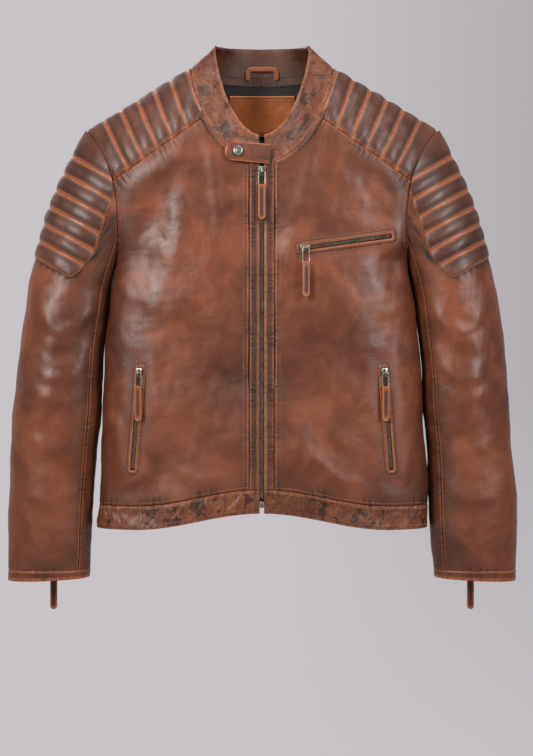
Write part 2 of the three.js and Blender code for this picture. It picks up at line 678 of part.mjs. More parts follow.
const HAND_ZIP_X = 171;
const HAND_ZIP_DROP = 434;
const HAND_ZIP_LEAN = 0.078;
for (const { tag, sign } of SIDES) {
  const lean = [Math.sin(HAND_ZIP_LEAN), -Math.cos(HAND_ZIP_LEAN)];
  addPocketZip(`hand_zip_${tag}`, tag, sign, [HAND_ZIP_X, -HAND_ZIP_DROP], lean, HAND_ZIP_LENGTH, 0.6);
}
const CHEST_ZIP_X = 53;
const CHEST_ZIP_DROP = 267;
const CHEST_ZIP_SLOPE = 0.148;
const CHEST_ZIP_PROUD = 3.4;
const chestDirection = [Math.cos(CHEST_ZIP_SLOPE), Math.sin(CHEST_ZIP_SLOPE)];
addPocketZip(
  "chest_zip",
  "left",
  1,
  [CHEST_ZIP_X, -CHEST_ZIP_DROP],
  chestDirection,
  CHEST_ZIP_LENGTH,
  CHEST_ZIP_PROUD,
);

// Pocket bags behind the lining
function addPocketBag(name, sign, xFrom, xTo, zTop, zBottom) {
  const surface = (u, v) => {
    const z = mix(zTop, zBottom, v);
    return bodySurface(sign * mix(angleAt(xFrom, z), angleAt(xTo, z), u), z);
  };
  const depth = LEATHER + 2 * LINING_GAP + LINING - 0.3;
  panels[name] = layer(surface, 8, 4, depth, depth + 1.6);
}
for (const { tag, sign } of SIDES) {
  addPocketBag(`hand_pocket_${tag}`, sign, 60, HAND_ZIP_X - 14, -HAND_ZIP_DROP + 10, -592);
}
addPocketBag("chest_pocket", 1, CHEST_ZIP_X, 178, -285, -400);

// ---- Main zip and its plackets ----

const MAIN_ZIP_TOP = -150;
const MAIN_ZIP_BOTTOM = -HEM_SEAM_DROP - HEM_BAND_HEIGHT + 8;
const BOTTOM_BOX = 9;
const chainFront = -BODY_HALF_DEPTH + 0.4;
for (const { tag, sign } of SIDES) {
  const half = CHAIN_WIDTH / 2;
  const xs = [sign * 0.15, sign * half].sort((a, b) => a - b);
  const low = [xs[0], chainFront, MAIN_ZIP_BOTTOM + BOTTOM_BOX + SEAM_GAP];
  const chain = block(low, [xs[1], chainFront + CHAIN_DEPTH, MAIN_ZIP_TOP]);
  addMesh(`main_zip_chain_${tag}`, chain, PEWTER);
  const edges = [sign * CHAIN_GAP_HALF, sign * (CHAIN_GAP_HALF + PLACKET_WIDTH)].sort((a, b) => a - b);
  const placketTop = neckline(0) - 4;
  const placket = block(
    [edges[0], -BODY_HALF_DEPTH, -HEM_SEAM_DROP + SEAM_GAP],
    [edges[1], -BODY_HALF_DEPTH + 3, placketTop],
  );
  addMesh(`placket_${tag}`, placket, LEATHER_TRIM);
}
const boxHalf = CHAIN_WIDTH / 2;
const bottomBox = block(
  [-boxHalf, chainFront - 0.6, MAIN_ZIP_BOTTOM],
  [boxHalf, chainFront + CHAIN_DEPTH + 0.6, MAIN_ZIP_BOTTOM + BOTTOM_BOX],
);
addMesh("main_zip_box", bottomBox, PEWTER);
const mainPlace = new THREE.Matrix4().setPosition(0, -BODY_HALF_DEPTH, MAIN_ZIP_TOP - 2);
addSliderAndPull("main_zip", mainPlace, 0, new THREE.Vector3(0, -1, 0));

// ---- Cuff zips, at the back of each sleeve ----

for (const { tag, sign } of SIDES) {
  const atBack = (v) => {
    const point = sleevePoint(-Math.PI / 2, v);
    point.x *= sign;
    return point;
  };
  const sliderEnd = atBack(0.985);
  const up = atBack(0.75).sub(sliderEnd).normalize();
  const farEnd = sliderEnd.clone().addScaledVector(up, CUFF_ZIP_LENGTH);
  const outward = new THREE.Vector3(0, 1, 0);
  const proud = 0.4;
  sliderEnd.y += proud;
  farEnd.y += proud;
  const place = placeOfZip(sliderEnd, farEnd, outward);
  addMesh(`cuff_zip_${tag}_chain`, chainBar(CUFF_ZIP_LENGTH), PEWTER, groupAt(place));
  addSliderAndPull(`cuff_zip_${tag}`, place, CHAIN_DEPTH / 2, outward);
  cutForZip(`top_sleeve_${tag}`, place, CHAIN_WIDTH, CUFF_ZIP_LENGTH, 0);
}

// ---- Hang loop, label and size tag, inside the back of the neck ----

const LOOP_WIDTH = 50;
const LOOP_HEIGHT = 20;
const LOOP_STRAP = 7;
const loopShape = new THREE.Shape();
loopShape.moveTo(-LOOP_WIDTH / 2, 0);
loopShape.lineTo(-LOOP_WIDTH / 2, LOOP_HEIGHT - 6);
loopShape.lineTo(-LOOP_WIDTH / 2 + 6, LOOP_HEIGHT);
loopShape.lineTo(LOOP_WIDTH / 2 - 6, LOOP_HEIGHT);
loopShape.lineTo(LOOP_WIDTH / 2, LOOP_HEIGHT - 6);
loopShape.lineTo(LOOP_WIDTH / 2, 0);
loopShape.lineTo(LOOP_WIDTH / 2 - LOOP_STRAP, 0);
loopShape.lineTo(LOOP_WIDTH / 2 - LOOP_STRAP, LOOP_HEIGHT - LOOP_STRAP);
loopShape.lineTo(-LOOP_WIDTH / 2 + LOOP_STRAP, LOOP_HEIGHT - LOOP_STRAP);
loopShape.lineTo(-LOOP_WIDTH / 2 + LOOP_STRAP, 0);
const loopFoot = collarPoint(Math.PI, 0.06);
const collarBack = collarPoint(Math.PI, 1).sub(collarPoint(Math.PI, 0));
const loopGroup = new THREE.Group();
loopGroup.position.set(0, loopFoot.y - COLLAR_LEATHER - 5.7, loopFoot.z);
loopGroup.rotation.x = Math.atan2(-collarBack.y, collarBack.z);
jacket.add(loopGroup);
addMesh("hang_loop", plate(loopShape, -2, 0), LEATHER_TRIM, loopGroup);

const LABEL_WIDTH = 100;
const LABEL_HEIGHT = 62;
const LABEL_TOP = -26;
function insideBack(width, top, height) {
  return (u, v) => {
    const z = mix(top, top - height, v);
    const x = mix(-width / 2, width / 2, u);
    return bodySurface(Math.PI - Math.sign(x) * angleAt(Math.abs(x), z), z);
  };
}
const labelDepth = liningDepth + LINING + LINING_GAP + 1;
addMesh("label_patch", layer(insideBack(LABEL_WIDTH, LABEL_TOP, LABEL_HEIGHT), 8, 3, labelDepth, labelDepth + 1), LABEL);

for (const [name, geometry] of Object.entries(panels)) {
  const quilted = /yoke|patch/.test(name);
  const lined = /lining|pocket/.test(name);
  addMesh(name, geometry, quilted ? LEATHER_QUILT : lined ? BLACK_LINING : LEATHER_BODY);
}

export default jacket;
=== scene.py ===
"""Leather riding jacket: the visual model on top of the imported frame.

Lengths are millimetres until a mesh is written, in metres. +Z is up, the front faces -Y and the
wearer's left is on +X. Every sewn panel is a grid surface over the same body, sleeve and collar
surfaces as its CAD node, with the drape, quilting and seams as a height along the normal.
"""
import json

import bpy
import numpy as np
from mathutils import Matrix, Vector


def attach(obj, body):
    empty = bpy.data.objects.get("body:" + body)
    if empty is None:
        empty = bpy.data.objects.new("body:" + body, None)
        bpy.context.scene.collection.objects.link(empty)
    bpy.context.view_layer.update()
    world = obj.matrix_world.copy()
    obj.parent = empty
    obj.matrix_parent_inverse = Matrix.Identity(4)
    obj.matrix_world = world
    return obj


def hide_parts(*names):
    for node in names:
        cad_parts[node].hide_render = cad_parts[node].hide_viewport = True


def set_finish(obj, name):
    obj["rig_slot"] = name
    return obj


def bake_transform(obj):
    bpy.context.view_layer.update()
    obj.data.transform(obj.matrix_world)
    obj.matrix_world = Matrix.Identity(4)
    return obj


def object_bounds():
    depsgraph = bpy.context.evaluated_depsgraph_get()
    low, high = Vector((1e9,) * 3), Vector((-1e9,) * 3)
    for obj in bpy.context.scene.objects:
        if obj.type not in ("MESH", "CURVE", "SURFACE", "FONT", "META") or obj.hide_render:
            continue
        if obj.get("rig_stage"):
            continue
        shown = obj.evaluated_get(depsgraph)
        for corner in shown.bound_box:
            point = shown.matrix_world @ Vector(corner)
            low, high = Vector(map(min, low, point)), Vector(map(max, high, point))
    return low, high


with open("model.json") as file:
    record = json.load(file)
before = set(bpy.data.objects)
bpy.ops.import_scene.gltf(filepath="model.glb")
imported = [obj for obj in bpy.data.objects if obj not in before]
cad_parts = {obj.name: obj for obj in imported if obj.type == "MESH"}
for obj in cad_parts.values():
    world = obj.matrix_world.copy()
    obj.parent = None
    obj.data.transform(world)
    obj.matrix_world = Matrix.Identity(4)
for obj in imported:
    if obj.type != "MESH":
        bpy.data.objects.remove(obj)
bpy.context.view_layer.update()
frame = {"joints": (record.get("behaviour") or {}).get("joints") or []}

PI = np.pi
SIDES = (("right", -1), ("left", 1))
JOINTS = {j["name"]: j for j in frame["joints"]}

# ---- Numbers on whole arrays ----


def clamp(value, low=0.0, high=1.0):
    return np.clip(value, low, high)


def mix(a, b, share):
    return a + (b - a) * share


def smooth(value, low=0.0, high=1.0):
    """0 below low, 1 above high, an S curve between them."""
    t = clamp((value - low) / (high - low))
    return t * t * (3 - 2 * t)


def bump(distance, width):
    return np.exp(-((distance / width) ** 2))


def signed_power(value, power):
    return np.sign(value) * np.abs(value) ** power


def vec(x, y, z):
    return np.stack(np.broadcast_arrays(x, y, z), -1).astype(float)


def unit(v):
    return v / np.maximum(np.linalg.norm(v, axis=-1, keepdims=True), 1e-9)


def ripple(points, seed, wavelength, waves=10):
    """A smooth height of about -1 to 1: plane cosine waves in seeded directions, added up."""
    rng = np.random.default_rng(seed)
    total = 0
    for _ in range(waves):
        way = unit(rng.normal(size=3))
        length = wavelength * rng.uniform(0.7, 1.5)
        total = total + np.cos(points @ way * (2 * PI / length) + rng.uniform(0, 2 * PI))
    return total / np.sqrt(waves)


def to_line(x, z, line):
    """Distance from points to a polyline in two axes, and the length along it at the nearest place."""
    best = np.full(np.broadcast(x, z).shape, 1e9)
    along = np.zeros(best.shape)
    start = 0.0
    line = np.asarray(line, float)
    for a, b in zip(line[:-1], line[1:]):
        d = b - a
        length = np.hypot(*d)
        t = clamp(((x - a[0]) * d[0] + (z - a[1]) * d[1]) / length**2)
        distance = np.hypot(x - a[0] - t * d[0], z - a[1] - t * d[1])
        closer = distance < best
        best = np.where(closer, distance, best)
        along = np.where(closer, start + t * length, along)
        start += length
    return best, along, start


def fold(x, z, line, width, height):
    """A rounded ridge along a line (a valley when the height is negative) that fades out at its ends."""
    distance, along, length = to_line(x, z, line)
    ends = smooth(along, 0, 0.4 * length) * smooth(length - along, 0, 0.4 * length)
    return height * ends * bump(distance, width)


# ---- The jacket's surfaces ----

HALF_DEPTH = 76
SQUARE = 3.2  # superellipse power of the body's section
NECK_HALF, NECK_DROP, NECK_BACK_DROP = 103, 147, 8
NECK_CURVE = 0.675
SHOULDER_HALF, SHOULDER_DROP, SHOULDER_ROUNDING = 254, 91, 120
UNDERARM_HALF, UNDERARM_DROP = 209, 268
ARMHOLE_HALF = 205
ARMHOLE_TURN = 250  # below this drop the armhole turns out to the underarm
HEM_DROP, HEM_SIDE_DROP = 605.0, 24
YOKE_NECK_DROP, YOKE_ARM_DROP, YOKE_BACK_DROP, YOKE_BACK_TOP = 80, 170.0, 140, 4
CUFF_DROP = 740
BICEPS_DEPTH, CUFF_DEPTH = 55, 36
COLLAR_TOP_HALF, COLLAR_SIDE_TOP, COLLAR_BACK_TOP, COLLAR_FRONT_FALL = 68, 33, 39, 140
HALF_SEAM = 0.175  # half of the gap between two sewn edges


def shoulder_line(x):
    return (NECK_HALF - np.abs(x)) * SHOULDER_DROP / (SHOULDER_HALF - NECK_HALF)


def half_width(z):
    """Half width of the body section, with its turn at the underarm softened."""
    total = 0
    for shift in (-15, -7.5, 0, 7.5, 15):
        drop = -UNDERARM_DROP - z + shift
        flare = 58 * (1 - np.exp(np.minimum(drop, 0) / 70))
        total = total + flare + 33 * (1 - np.exp(-np.maximum(drop, 0) / 180))
    return UNDERARM_HALF + total / 5


def rise_at(x, z):
    turn = clamp((shoulder_line(x) - z) / SHOULDER_ROUNDING)
    return np.sqrt(1 - (1 - turn) ** 2)


def section(x, z):
    return (1 - clamp(np.abs(x) / half_width(z)) ** SQUARE) ** (1 / SQUARE)


def body(angle, z):
    """The body at an angle round it, 0 at the front and a quarter turn at the wearer's left."""
    x = half_width(z) * signed_power(np.sin(angle), 2 / SQUARE)
    y = -HALF_DEPTH * rise_at(x, z) * signed_power(np.cos(angle), 2 / SQUARE)
    return vec(x, y, z)


def angle_at(x, z):
    """The angle at which the front of the body reaches x at height z."""
    return np.sign(x) * np.arcsin(clamp(np.abs(x) / half_width(z)) ** (SQUARE / 2))


def armhole_x(z):
    above = clamp((z + ARMHOLE_TURN) / (ARMHOLE_TURN - SHOULDER_DROP))
    under = clamp((-z - ARMHOLE_TURN) / (UNDERARM_DROP - ARMHOLE_TURN))
    rise = (SHOULDER_HALF - ARMHOLE_HALF) * above**3
    return ARMHOLE_HALF + rise + (UNDERARM_HALF - ARMHOLE_HALF) * under**2


def neckline(x):
    return -NECK_DROP * (1 - clamp(np.abs(x) / NECK_HALF) ** 2) ** NECK_CURVE


def neck_x(z):
    return NECK_HALF * np.sqrt(1 - clamp(-z / NECK_DROP) ** (1 / NECK_CURVE))


YOKE_NECK_X = float(neck_x(-YOKE_NECK_DROP))
YOKE_ARM_X = float(armhole_x(-YOKE_ARM_DROP))
YOKE_BACK_X = 92.7


def front_edge(x):
    share = (x - YOKE_NECK_X) / (YOKE_ARM_X - YOKE_NECK_X)
    seam = mix(-YOKE_NECK_DROP, -YOKE_ARM_DROP, share)
    return np.where(x < YOKE_NECK_X, neckline(x), seam)


def back_edge(x):
    seam = mix(-YOKE_BACK_TOP, -YOKE_BACK_DROP, (x - YOKE_BACK_X) / (YOKE_ARM_X - YOKE_BACK_X))
    neck = -NECK_BACK_DROP * np.sqrt(1 - clamp(x / NECK_HALF) ** 2) - 0.4
    return np.where(x < YOKE_BACK_X, neck, seam)


def hem_seam(angle):
    share = np.abs(np.sin(angle)) ** (2 / SQUARE)
    return -HEM_DROP - HEM_SIDE_DROP * np.sin(PI / 2 * clamp(share * 1.3)) ** 2


def side_angle(z):
    seam = PI / 2 - (HALF_SEAM / HALF_DEPTH) ** (SQUARE / 2)
    return mix(seam, angle_at(armhole_x(z) - 0.7, z), smooth(z, -290, -256))


def column_angle(u, z, start):
    side = np.sin(side_angle(z)) ** (2 / SQUARE)
    share = mix(start / half_width(z), side, np.sin(u * PI / 2))
    return np.arcsin(clamp(share) ** (SQUARE / 2))


def panel_angles(u, v, facing, start, edge):
    """Angle and height on the body of a panel's columns u, out from its inner edge, and rows v, down."""
    u, v = np.broadcast_arrays(u, v)
    top = np.full(u.shape, -YOKE_ARM_DROP)
    for _ in range(12):
        x = half_width(top) * np.sin(column_angle(u, top, start)) ** (2 / SQUARE)
        top = mix(top, edge(x) - HALF_SEAM, 0.7)
    low = hem_seam(column_angle(u, np.full(u.shape, -HEM_DROP), start)) + 0.9
    z = mix(top, low, v)
    across = column_angle(u, z, start)
    return (across if facing > 0 else PI - across), z


def along_curve(points, share):
    """A point of a smooth curve through (x, z) points, at a share of its length."""
    points = np.asarray(points, float)
    padded = np.vstack([2 * points[0] - points[1], points, 2 * points[-1] - points[-2]])
    fine = []
    for p0, p1, p2, p3 in zip(padded, padded[1:], padded[2:], padded[3:]):
        t = np.linspace(0, 1, 40, endpoint=False)[:, None]
        fine.append(
            p1
            + t * (p2 - p0) / 2
            + t**2 * (p0 - 2.5 * p1 + 2 * p2 - p3 / 2)
            + t**3 * (1.5 * p1 - p0 / 2 - 1.5 * p2 + p3 / 2)
        )
    fine = np.vstack(fine + [points[-1:]])
    length = np.r_[0, np.cumsum(np.linalg.norm(np.diff(fine, axis=0), axis=1))]
    length /= length[-1]
    return np.interp(share, length, fine[:, 0]), np.interp(share, length, fine[:, 1])


OUTER_EDGE = [(SHOULDER_HALF, -SHOULDER_DROP), (291, -158), (321, -250), (347, -370), (363, -520)]
OUTER_EDGE.append((368, -CUFF_DROP))


def beside_body(z):
    return float(half_width(np.array(z))) + 2.2 + 8 * float(clamp((-z - 560) / 175)) ** 2


INNER_EDGE = [(UNDERARM_HALF, -UNDERARM_DROP)]
INNER_EDGE += [(beside_body(z), z) for z in (-330.0, -430.0, -560.0, -735.0)]


def sleeve(angle, v):
    """The wearer's left sleeve: angle 0 on its outer edge, a quarter turn in front, v down it."""
    angle, v = np.broadcast_arrays(np.asarray(angle, float), np.asarray(v, float))
    share = clamp(v)
    ox, oz = along_curve(OUTER_EDGE, share)
    ix, iz = along_curve(INNER_EDGE, share)
    depth = mix(BICEPS_DEPTH, CUFF_DEPTH, clamp((share - 0.35) / 0.65) ** 1.4)
    across = np.cos(angle)
    ring = vec(
        (ox + ix) / 2 + (ox - ix) / 2 * across,
        -depth * np.sin(angle),
        (oz + iz) / 2 + (oz - iz) / 2 * across,
    )
    arm_z = mix(-SHOULDER_DROP, -UNDERARM_DROP, (1 - across) / 2)
    arm_x = armhole_x(arm_z)
    arm_y = -np.sign(np.sin(angle)) * HALF_DEPTH * rise_at(arm_x, arm_z) * section(arm_x, arm_z)
    fade = (1 - smooth(share, 0, 0.2))[..., None]
    return mix(ring, vec(arm_x, arm_y, arm_z), fade)


def collar(angle, share):
    """The collar's outside: angle 0 in the middle of the front, share 0 at its seam and 1 at its top."""
    forward = np.cos(angle)
    front = np.maximum(forward, 0) ** 1.35
    x = NECK_HALF * np.sin(angle)
    base_z = np.where(forward > 0, -NECK_DROP * front, NECK_BACK_DROP * forward)
    base_y = -np.sign(forward) * HALF_DEPTH * rise_at(x, base_z) * section(x, base_z)
    back_z = mix(COLLAR_SIDE_TOP, COLLAR_BACK_TOP, -forward)
    top_z = np.where(forward > 0, COLLAR_SIDE_TOP - COLLAR_FRONT_FALL * front, back_z)
    top_y = -forward * HALF_DEPTH * np.where(forward > 0, 0.88, 0.78)
    top = vec(COLLAR_TOP_HALF * np.sin(angle), top_y, top_z)
    return mix(vec(x, base_y, base_z), top, np.asarray(share)[..., None])


def normals(surface, a, b, step_a, step_b, outward):
    """Unit normals of surface(a, b), turned to the side that outward points to."""
    along_a = surface(a + step_a, b) - surface(a - step_a, b)
    along_b = surface(a, b + step_b) - surface(a, b - step_b)
    found = unit(np.cross(along_a, along_b))
    facing = np.sum(found * outward, -1, keepdims=True)
    return np.where(facing < 0, -found, found)


def body_frame(angle, z):
    """Points of the body and their outward normals."""
    at = body(angle, z)
    outward = vec(at[..., 0] * 0.3, at[..., 1], 0.3 * (at[..., 2] > -150))
    outward[..., 0] += np.sign(at[..., 0]) * 0.01
    return at, normals(body, angle, z, 0.004, 1.0, outward)


def sleeve_frame(angle, v):
    at = sleeve(angle, v)
    centre = (sleeve(0 * angle, v) + sleeve(0 * angle + PI, v)) / 2
    inside = clamp(v, 0.02, 0.98)
    return at, normals(sleeve, angle, inside, 0.004, 0.004, at - centre)


def yoke(u, w):
    """The wearer's left shoulder: u out from the neck, w from -1 at the front seam to 1 at the back."""
    ridge_x = mix(101.5, 253.4, u)
    front_x = mix(YOKE_NECK_X - 1, YOKE_ARM_X - 0.7, u)
    back_x = mix(YOKE_BACK_X, YOKE_ARM_X + 8, u)
    seam_x = np.where(w < 0, front_x, back_x)
    seam_z = np.where(w < 0, front_edge(front_x) + 0.6, back_edge(back_x) + 3) + HALF_SEAM
    share = 1 - np.cos(np.abs(w) * PI / 2)
    z = mix(shoulder_line(ridge_x), seam_z, share)
    x = np.minimum(mix(ridge_x, seam_x, share), armhole_x(z) - 0.7)
    x = np.where(w < 0, np.maximum(x, neck_x(z)), x)
    return vec(x, np.sign(w) * HALF_DEPTH * rise_at(x, z) * section(x, z), z)


# ---- Meshes ----


def write_mesh(name, points, faces, attributes=None):
    """A mesh object from points in millimetres and arrays of faces that have one corner count each."""
    mesh = bpy.data.meshes.new(name)
    faces = [np.asarray(f, np.int32) for f in faces if len(f)]
    counts = np.concatenate([np.full(len(f), f.shape[1]) for f in faces])
    mesh.vertices.add(len(points))
    mesh.vertices.foreach_set("co", (points * 0.001).astype(np.float32).ravel())
    mesh.loops.add(int(counts.sum()))
    mesh.loops.foreach_set("vertex_index", np.concatenate([f.ravel() for f in faces]))
    mesh.polygons.add(len(counts))
    starts = np.r_[0, np.cumsum(counts)[:-1]].astype(np.int32)
    mesh.polygons.foreach_set("loop_start", starts)
    mesh.polygons.foreach_set("use_smooth", np.ones(len(counts), bool))
    mesh.update(calc_edges=True)
    for key, values in (attributes or {}).items():
        layer = mesh.attributes.new(key, "FLOAT", "POINT")
        layer.data.foreach_set("value", np.asarray(values, np.float32).ravel())
    obj = bpy.data.objects.new(name, mesh)
    bpy.context.scene.collection.objects.link(obj)
    return obj


def grid_faces(rows, columns, wrap=False):
    j, i = np.mgrid[0 : rows - 1, 0 : columns - (0 if wrap else 1)]
    k = (i + 1) % columns
    corners = [j * columns + i, j * columns + k, (j + 1) * columns + k, (j + 1) * columns + i]
    return np.stack(corners, -1).reshape(-1, 4)


def facing(points, faces, outward):
    """The quads, turned over when most of them face against the outward directions."""
    a, b, c = (points[faces[:, k]] for k in (0, 1, 3))
    side = np.sum(np.cross(b - a, c - a) * outward[faces[:, 0]], -1)
    return faces[:, ::-1] if np.sum(side) < 0 else faces


def panel(name, at, out, attributes=None, rim=2.2, tuck=0):
    """A grid of leather, its edges turned in by the rim; the end rows may tuck under their neighbours."""
    at = np.pad(at, ((1, 1), (1, 1), (0, 0)), mode="edge")
    out = np.pad(out, ((1, 1), (1, 1), (0, 0)), mode="edge")
    turned = np.ones(at.shape[:2])
    turned[1:-1, 1:-1] = 0
    at = at - out * turned[..., None] * rim
    values = {k: np.pad(v, 1, mode="edge") for k, v in (attributes or {}).items()}
    if tuck:
        before, after = unit(at[1] - at[2]), unit(at[-2] - at[-3])
        first = at[0] + before * tuck - out[0] * 0.8
        last = at[-1] + after * tuck - out[-1] * 0.8
        at = np.concatenate([[first], at, [last]])
        out = np.pad(out, ((1, 1), (0, 0), (0, 0)), mode="edge")
        values = {k: np.pad(v, ((1, 1), (0, 0)), mode="edge") for k, v in values.items()}
    rows, columns = at.shape[:2]
    flat, outward = at.reshape(-1, 3), out.reshape(-1, 3)
    faces = facing(flat, grid_faces(rows, columns), outward)
    return write_mesh(name, flat, [faces], values)


def folded_grid(name, points, outward, values):
    """A grid that folds back on itself, so that each of its rows has its own outward side."""
    flat = points.reshape(-1, 3)
    faces = facing(flat, grid_faces(*points.shape[:2]), outward.reshape(-1, 3))
    return write_mesh(name, flat, [faces], values)


def tube(name, rings, attributes=None, closed=False, save=True):
    """A loft through closed rings, shape (stations, ring, 3), with flat ends unless it closes on itself."""
    stations, ring = rings.shape[:2]
    points = rings.reshape(-1, 3)
    if closed:
        points = np.vstack([rings, rings[:1]]).reshape(-1, 3)[: stations * ring]
        j, i = np.mgrid[0:stations, 0:ring]
        k, n = (i + 1) % ring, (j + 1) % stations
        quads = np.stack([j * ring + i, j * ring + k, n * ring + k, n * ring + i], -1).reshape(-1, 4)
        tris = np.zeros((0, 3), int)
    else:
        quads = grid_faces(stations, ring, wrap=True)
        i = np.arange(ring)
        k = (i + 1) % ring
        first, last = len(points), len(points) + 1
        points = np.vstack([points, rings[0].mean(0), rings[-1].mean(0)])
        base = (stations - 1) * ring
        start = np.stack([k, i, np.full(ring, first)], -1)
        end = np.stack([base + i, base + k, np.full(ring, last)], -1)
        tris = np.vstack([start, end])
        if attributes:
            attributes = {
                key: np.r_[v.ravel(), v[0].mean(), v[-1].mean()] for key, v in attributes.items()
            }
    volume = np.sum(points[quads[:, 0]] * np.cross(points[quads[:, 1]], points[quads[:, 2]]))
    volume += np.sum(points[quads[:, 0]] * np.cross(points[quads[:, 2]], points[quads[:, 3]]))
    if volume < 0:
        quads, tris = quads[:, ::-1], tris[:, ::-1]
    if not save:
        return points, quads, tris
    return write_mesh(name, points, [quads, tris], attributes)


def together(parts):
    """Joins (points, quads, tris) triples into one."""
    points, quads, tris, count = [], [], [], 0
    for p, q, t in parts:
        points.append(p)
        quads.append(q + count)
        tris.append(t + count)
        count += len(p)
    return np.vstack(points), np.vstack(quads), np.vstack(tris)


def many(template, places, axes):
    """Copies of a small (points, tris) shape at places, each with its own three axes."""
    points, tris = template
    spread = places[:, None] + np.einsum("pk,nkc->npc", points, axes)
    offsets = np.arange(len(places))[:, None, None] * len(points)
    return spread.reshape(-1, 3), (tris[None] + offsets).reshape(-1, 3)


def triangles(name, parts):
    """One mesh from a list of points and their triangles."""
    starts = np.cumsum([0] + [len(points) for points, _ in parts])
    corners = [tris + start for (_, tris), start in zip(parts, starts)]
    return write_mesh(name, np.vstack([points for points, _ in parts]), [np.vstack(corners)])


def capsule(length, radius):
    """A six-sided thread stitch along X with pointed ends."""
    turn = np.arange(6) * PI / 3
    ring = np.stack([0 * turn, np.cos(turn) * radius, np.sin(turn) * radius], -1)
    half = length / 2
    shoulder = [half * 0.62, 0, 0]
    tips = [[-half, 0, -radius * 0.6], [half, 0, -radius * 0.6]]
    points = np.vstack([ring - shoulder, ring + shoulder, tips])
    i = np.arange(6)
    k = (i + 1) % 6
    tris = [
        np.stack([i, k, k + 6], -1),
        np.stack([i, k + 6, i + 6], -1),
        np.stack([k, i, i * 0 + 12], -1),
        np.stack([i + 6, k + 6, i * 0 + 13], -1),
    ]
    return points, np.vstack(tris)[:, ::-1]


def brick(size):
    """A box of the given size, as eight points and twelve triangles."""
    signs = np.array([(x, y, z) for x in (-1, 1) for y in (-1, 1) for z in (-1, 1)], float)
    quads = [(0, 1, 3, 2), (4, 6, 7, 5), (0, 4, 5, 1), (2, 3, 7, 6), (0, 2, 6, 4), (1, 5, 7, 3)]
    tris = [(a, b, c) for a, b, c, d in quads] + [(a, c, d) for a, b, c, d in quads]
    return signs * np.asarray(size) / 2, np.array(tris)


# ---- Seams and stitches ----

threads = {}


def stitch(group, at, out, pitch=3.6, radius=0.42, lift=0.1):
    """Adds thread stitches along a polyline of surface points, lying on the surface."""
    if len(at) < 2:
        return
    steps = np.linalg.norm(np.diff(at, axis=0), axis=1)
    length = np.r_[0, np.cumsum(steps)]
    count = int(length[-1] / pitch)
    if count < 1:
        return
    where = (np.arange(count) + 0.5) * length[-1] / count
    points = np.stack([np.interp(where, length, at[:, k]) for k in range(3)], -1)
    up = unit(np.stack([np.interp(where, length, out[:, k]) for k in range(3)], -1))
    ends = [np.stack([np.interp(where + d, length, at[:, k]) for k in range(3)], -1) for d in (-0.8, 0.8)]
    way = unit(ends[1] - ends[0])
    side = unit(np.cross(up, way))
    up = np.cross(way, side)
    axes = np.stack([way, side, up], 1)
    threads.setdefault(group, []).append(
        many(capsule(pitch * 0.8, radius), points + up * (radius * 0.3 + lift), axes)
    )


class Skin:
    """A surface with drape: at(a, b) gives displaced points and normals for parameter arrays."""

    def __init__(self, frame_of, height_of, mirror=1):
        self.frame_of, self.height_of, self.mirror = frame_of, height_of, mirror

    def at(self, a, b):
        a, b = np.broadcast_arrays(np.asarray(a, float), np.asarray(b, float))
        points, out = self.frame_of(a, b)
        if self.mirror < 0:
            points, out = points * [-1, 1, 1], out * [-1, 1, 1]
        moved = self.height_of(points, out, a, b)
        return moved, out

    def sew(self, group, a, b, **more):
        points, out = self.at(a, b)
        stitch(group, points, out, **more)


def flat_size(at):
    """Width, length and area in metres of a grid before it is draped."""
    across = np.linalg.norm(np.diff(at, axis=1), axis=-1).sum(1).max()
    down = np.linalg.norm(np.diff(at, axis=0), axis=-1).sum(0).max()
    cell = np.cross(at[1:, :-1] - at[:-1, :-1], at[:-1, 1:] - at[:-1, :-1])
    area = np.linalg.norm(cell, axis=-1).sum()
    across, down = max(across, 10.0), max(down, 10.0)
    return (across / 1000, down / 1000), min(area / 1e6, across * down / 1e6)


# ---- Relief: the height and tone that seams, quilting and folds give ----


class Relief:
    """Height along the normal, light burnish and painted shade, all on the points of one surface."""

    def __init__(self, shape):
        self.height = np.zeros(shape)
        self.burn = np.zeros(shape)
        self.dark = np.zeros(shape)

    def seam(self, distance, along, puckers=0.35, pitch=5.0, reach=6.0, roll=0.9, burn=0.8):
        """A sewn edge at distance 0: it rolls under, gathers across itself, and wears light; its gathers get
        painted shade.
        """
        phase = 2 * PI * along / pitch + 1.9 * np.sin(along * 0.19) + 1.1 * np.sin(along * 0.47)
        uneven = 0.55 + 0.45 * np.sin(along * 0.083 + 1.3)
        gather = (0.5 + 0.5 * np.sin(phase)) * uneven * bump(np.maximum(distance - 1.5, 0), reach)
        self.height -= roll * bump(distance, 1.6) + puckers * gather
        # painted shade in the pucker valleys
        self.dark += 1.25 * gather**1.5 * smooth(puckers, 0, 0.4)
        self.burn += burn * bump(distance - 1.2, 2.0) * (0.75 + 0.25 * np.sin(phase * 0.5))

    def groove(self, distance, depth=2.2, width=6.5, burn=0.9):
        """A quilting seam between two padded ribs, with painted shade on the ribs' flanks beside it."""
        self.height += depth * (1 - bump(distance, width)) - 0.35 * bump(distance, 1.2)
        self.burn += burn * bump(distance, 2.6)
        # painted shade on the flanks of the ribs
        self.dark += 0.5 * bump(np.abs(distance) - 6.0, 3.0)


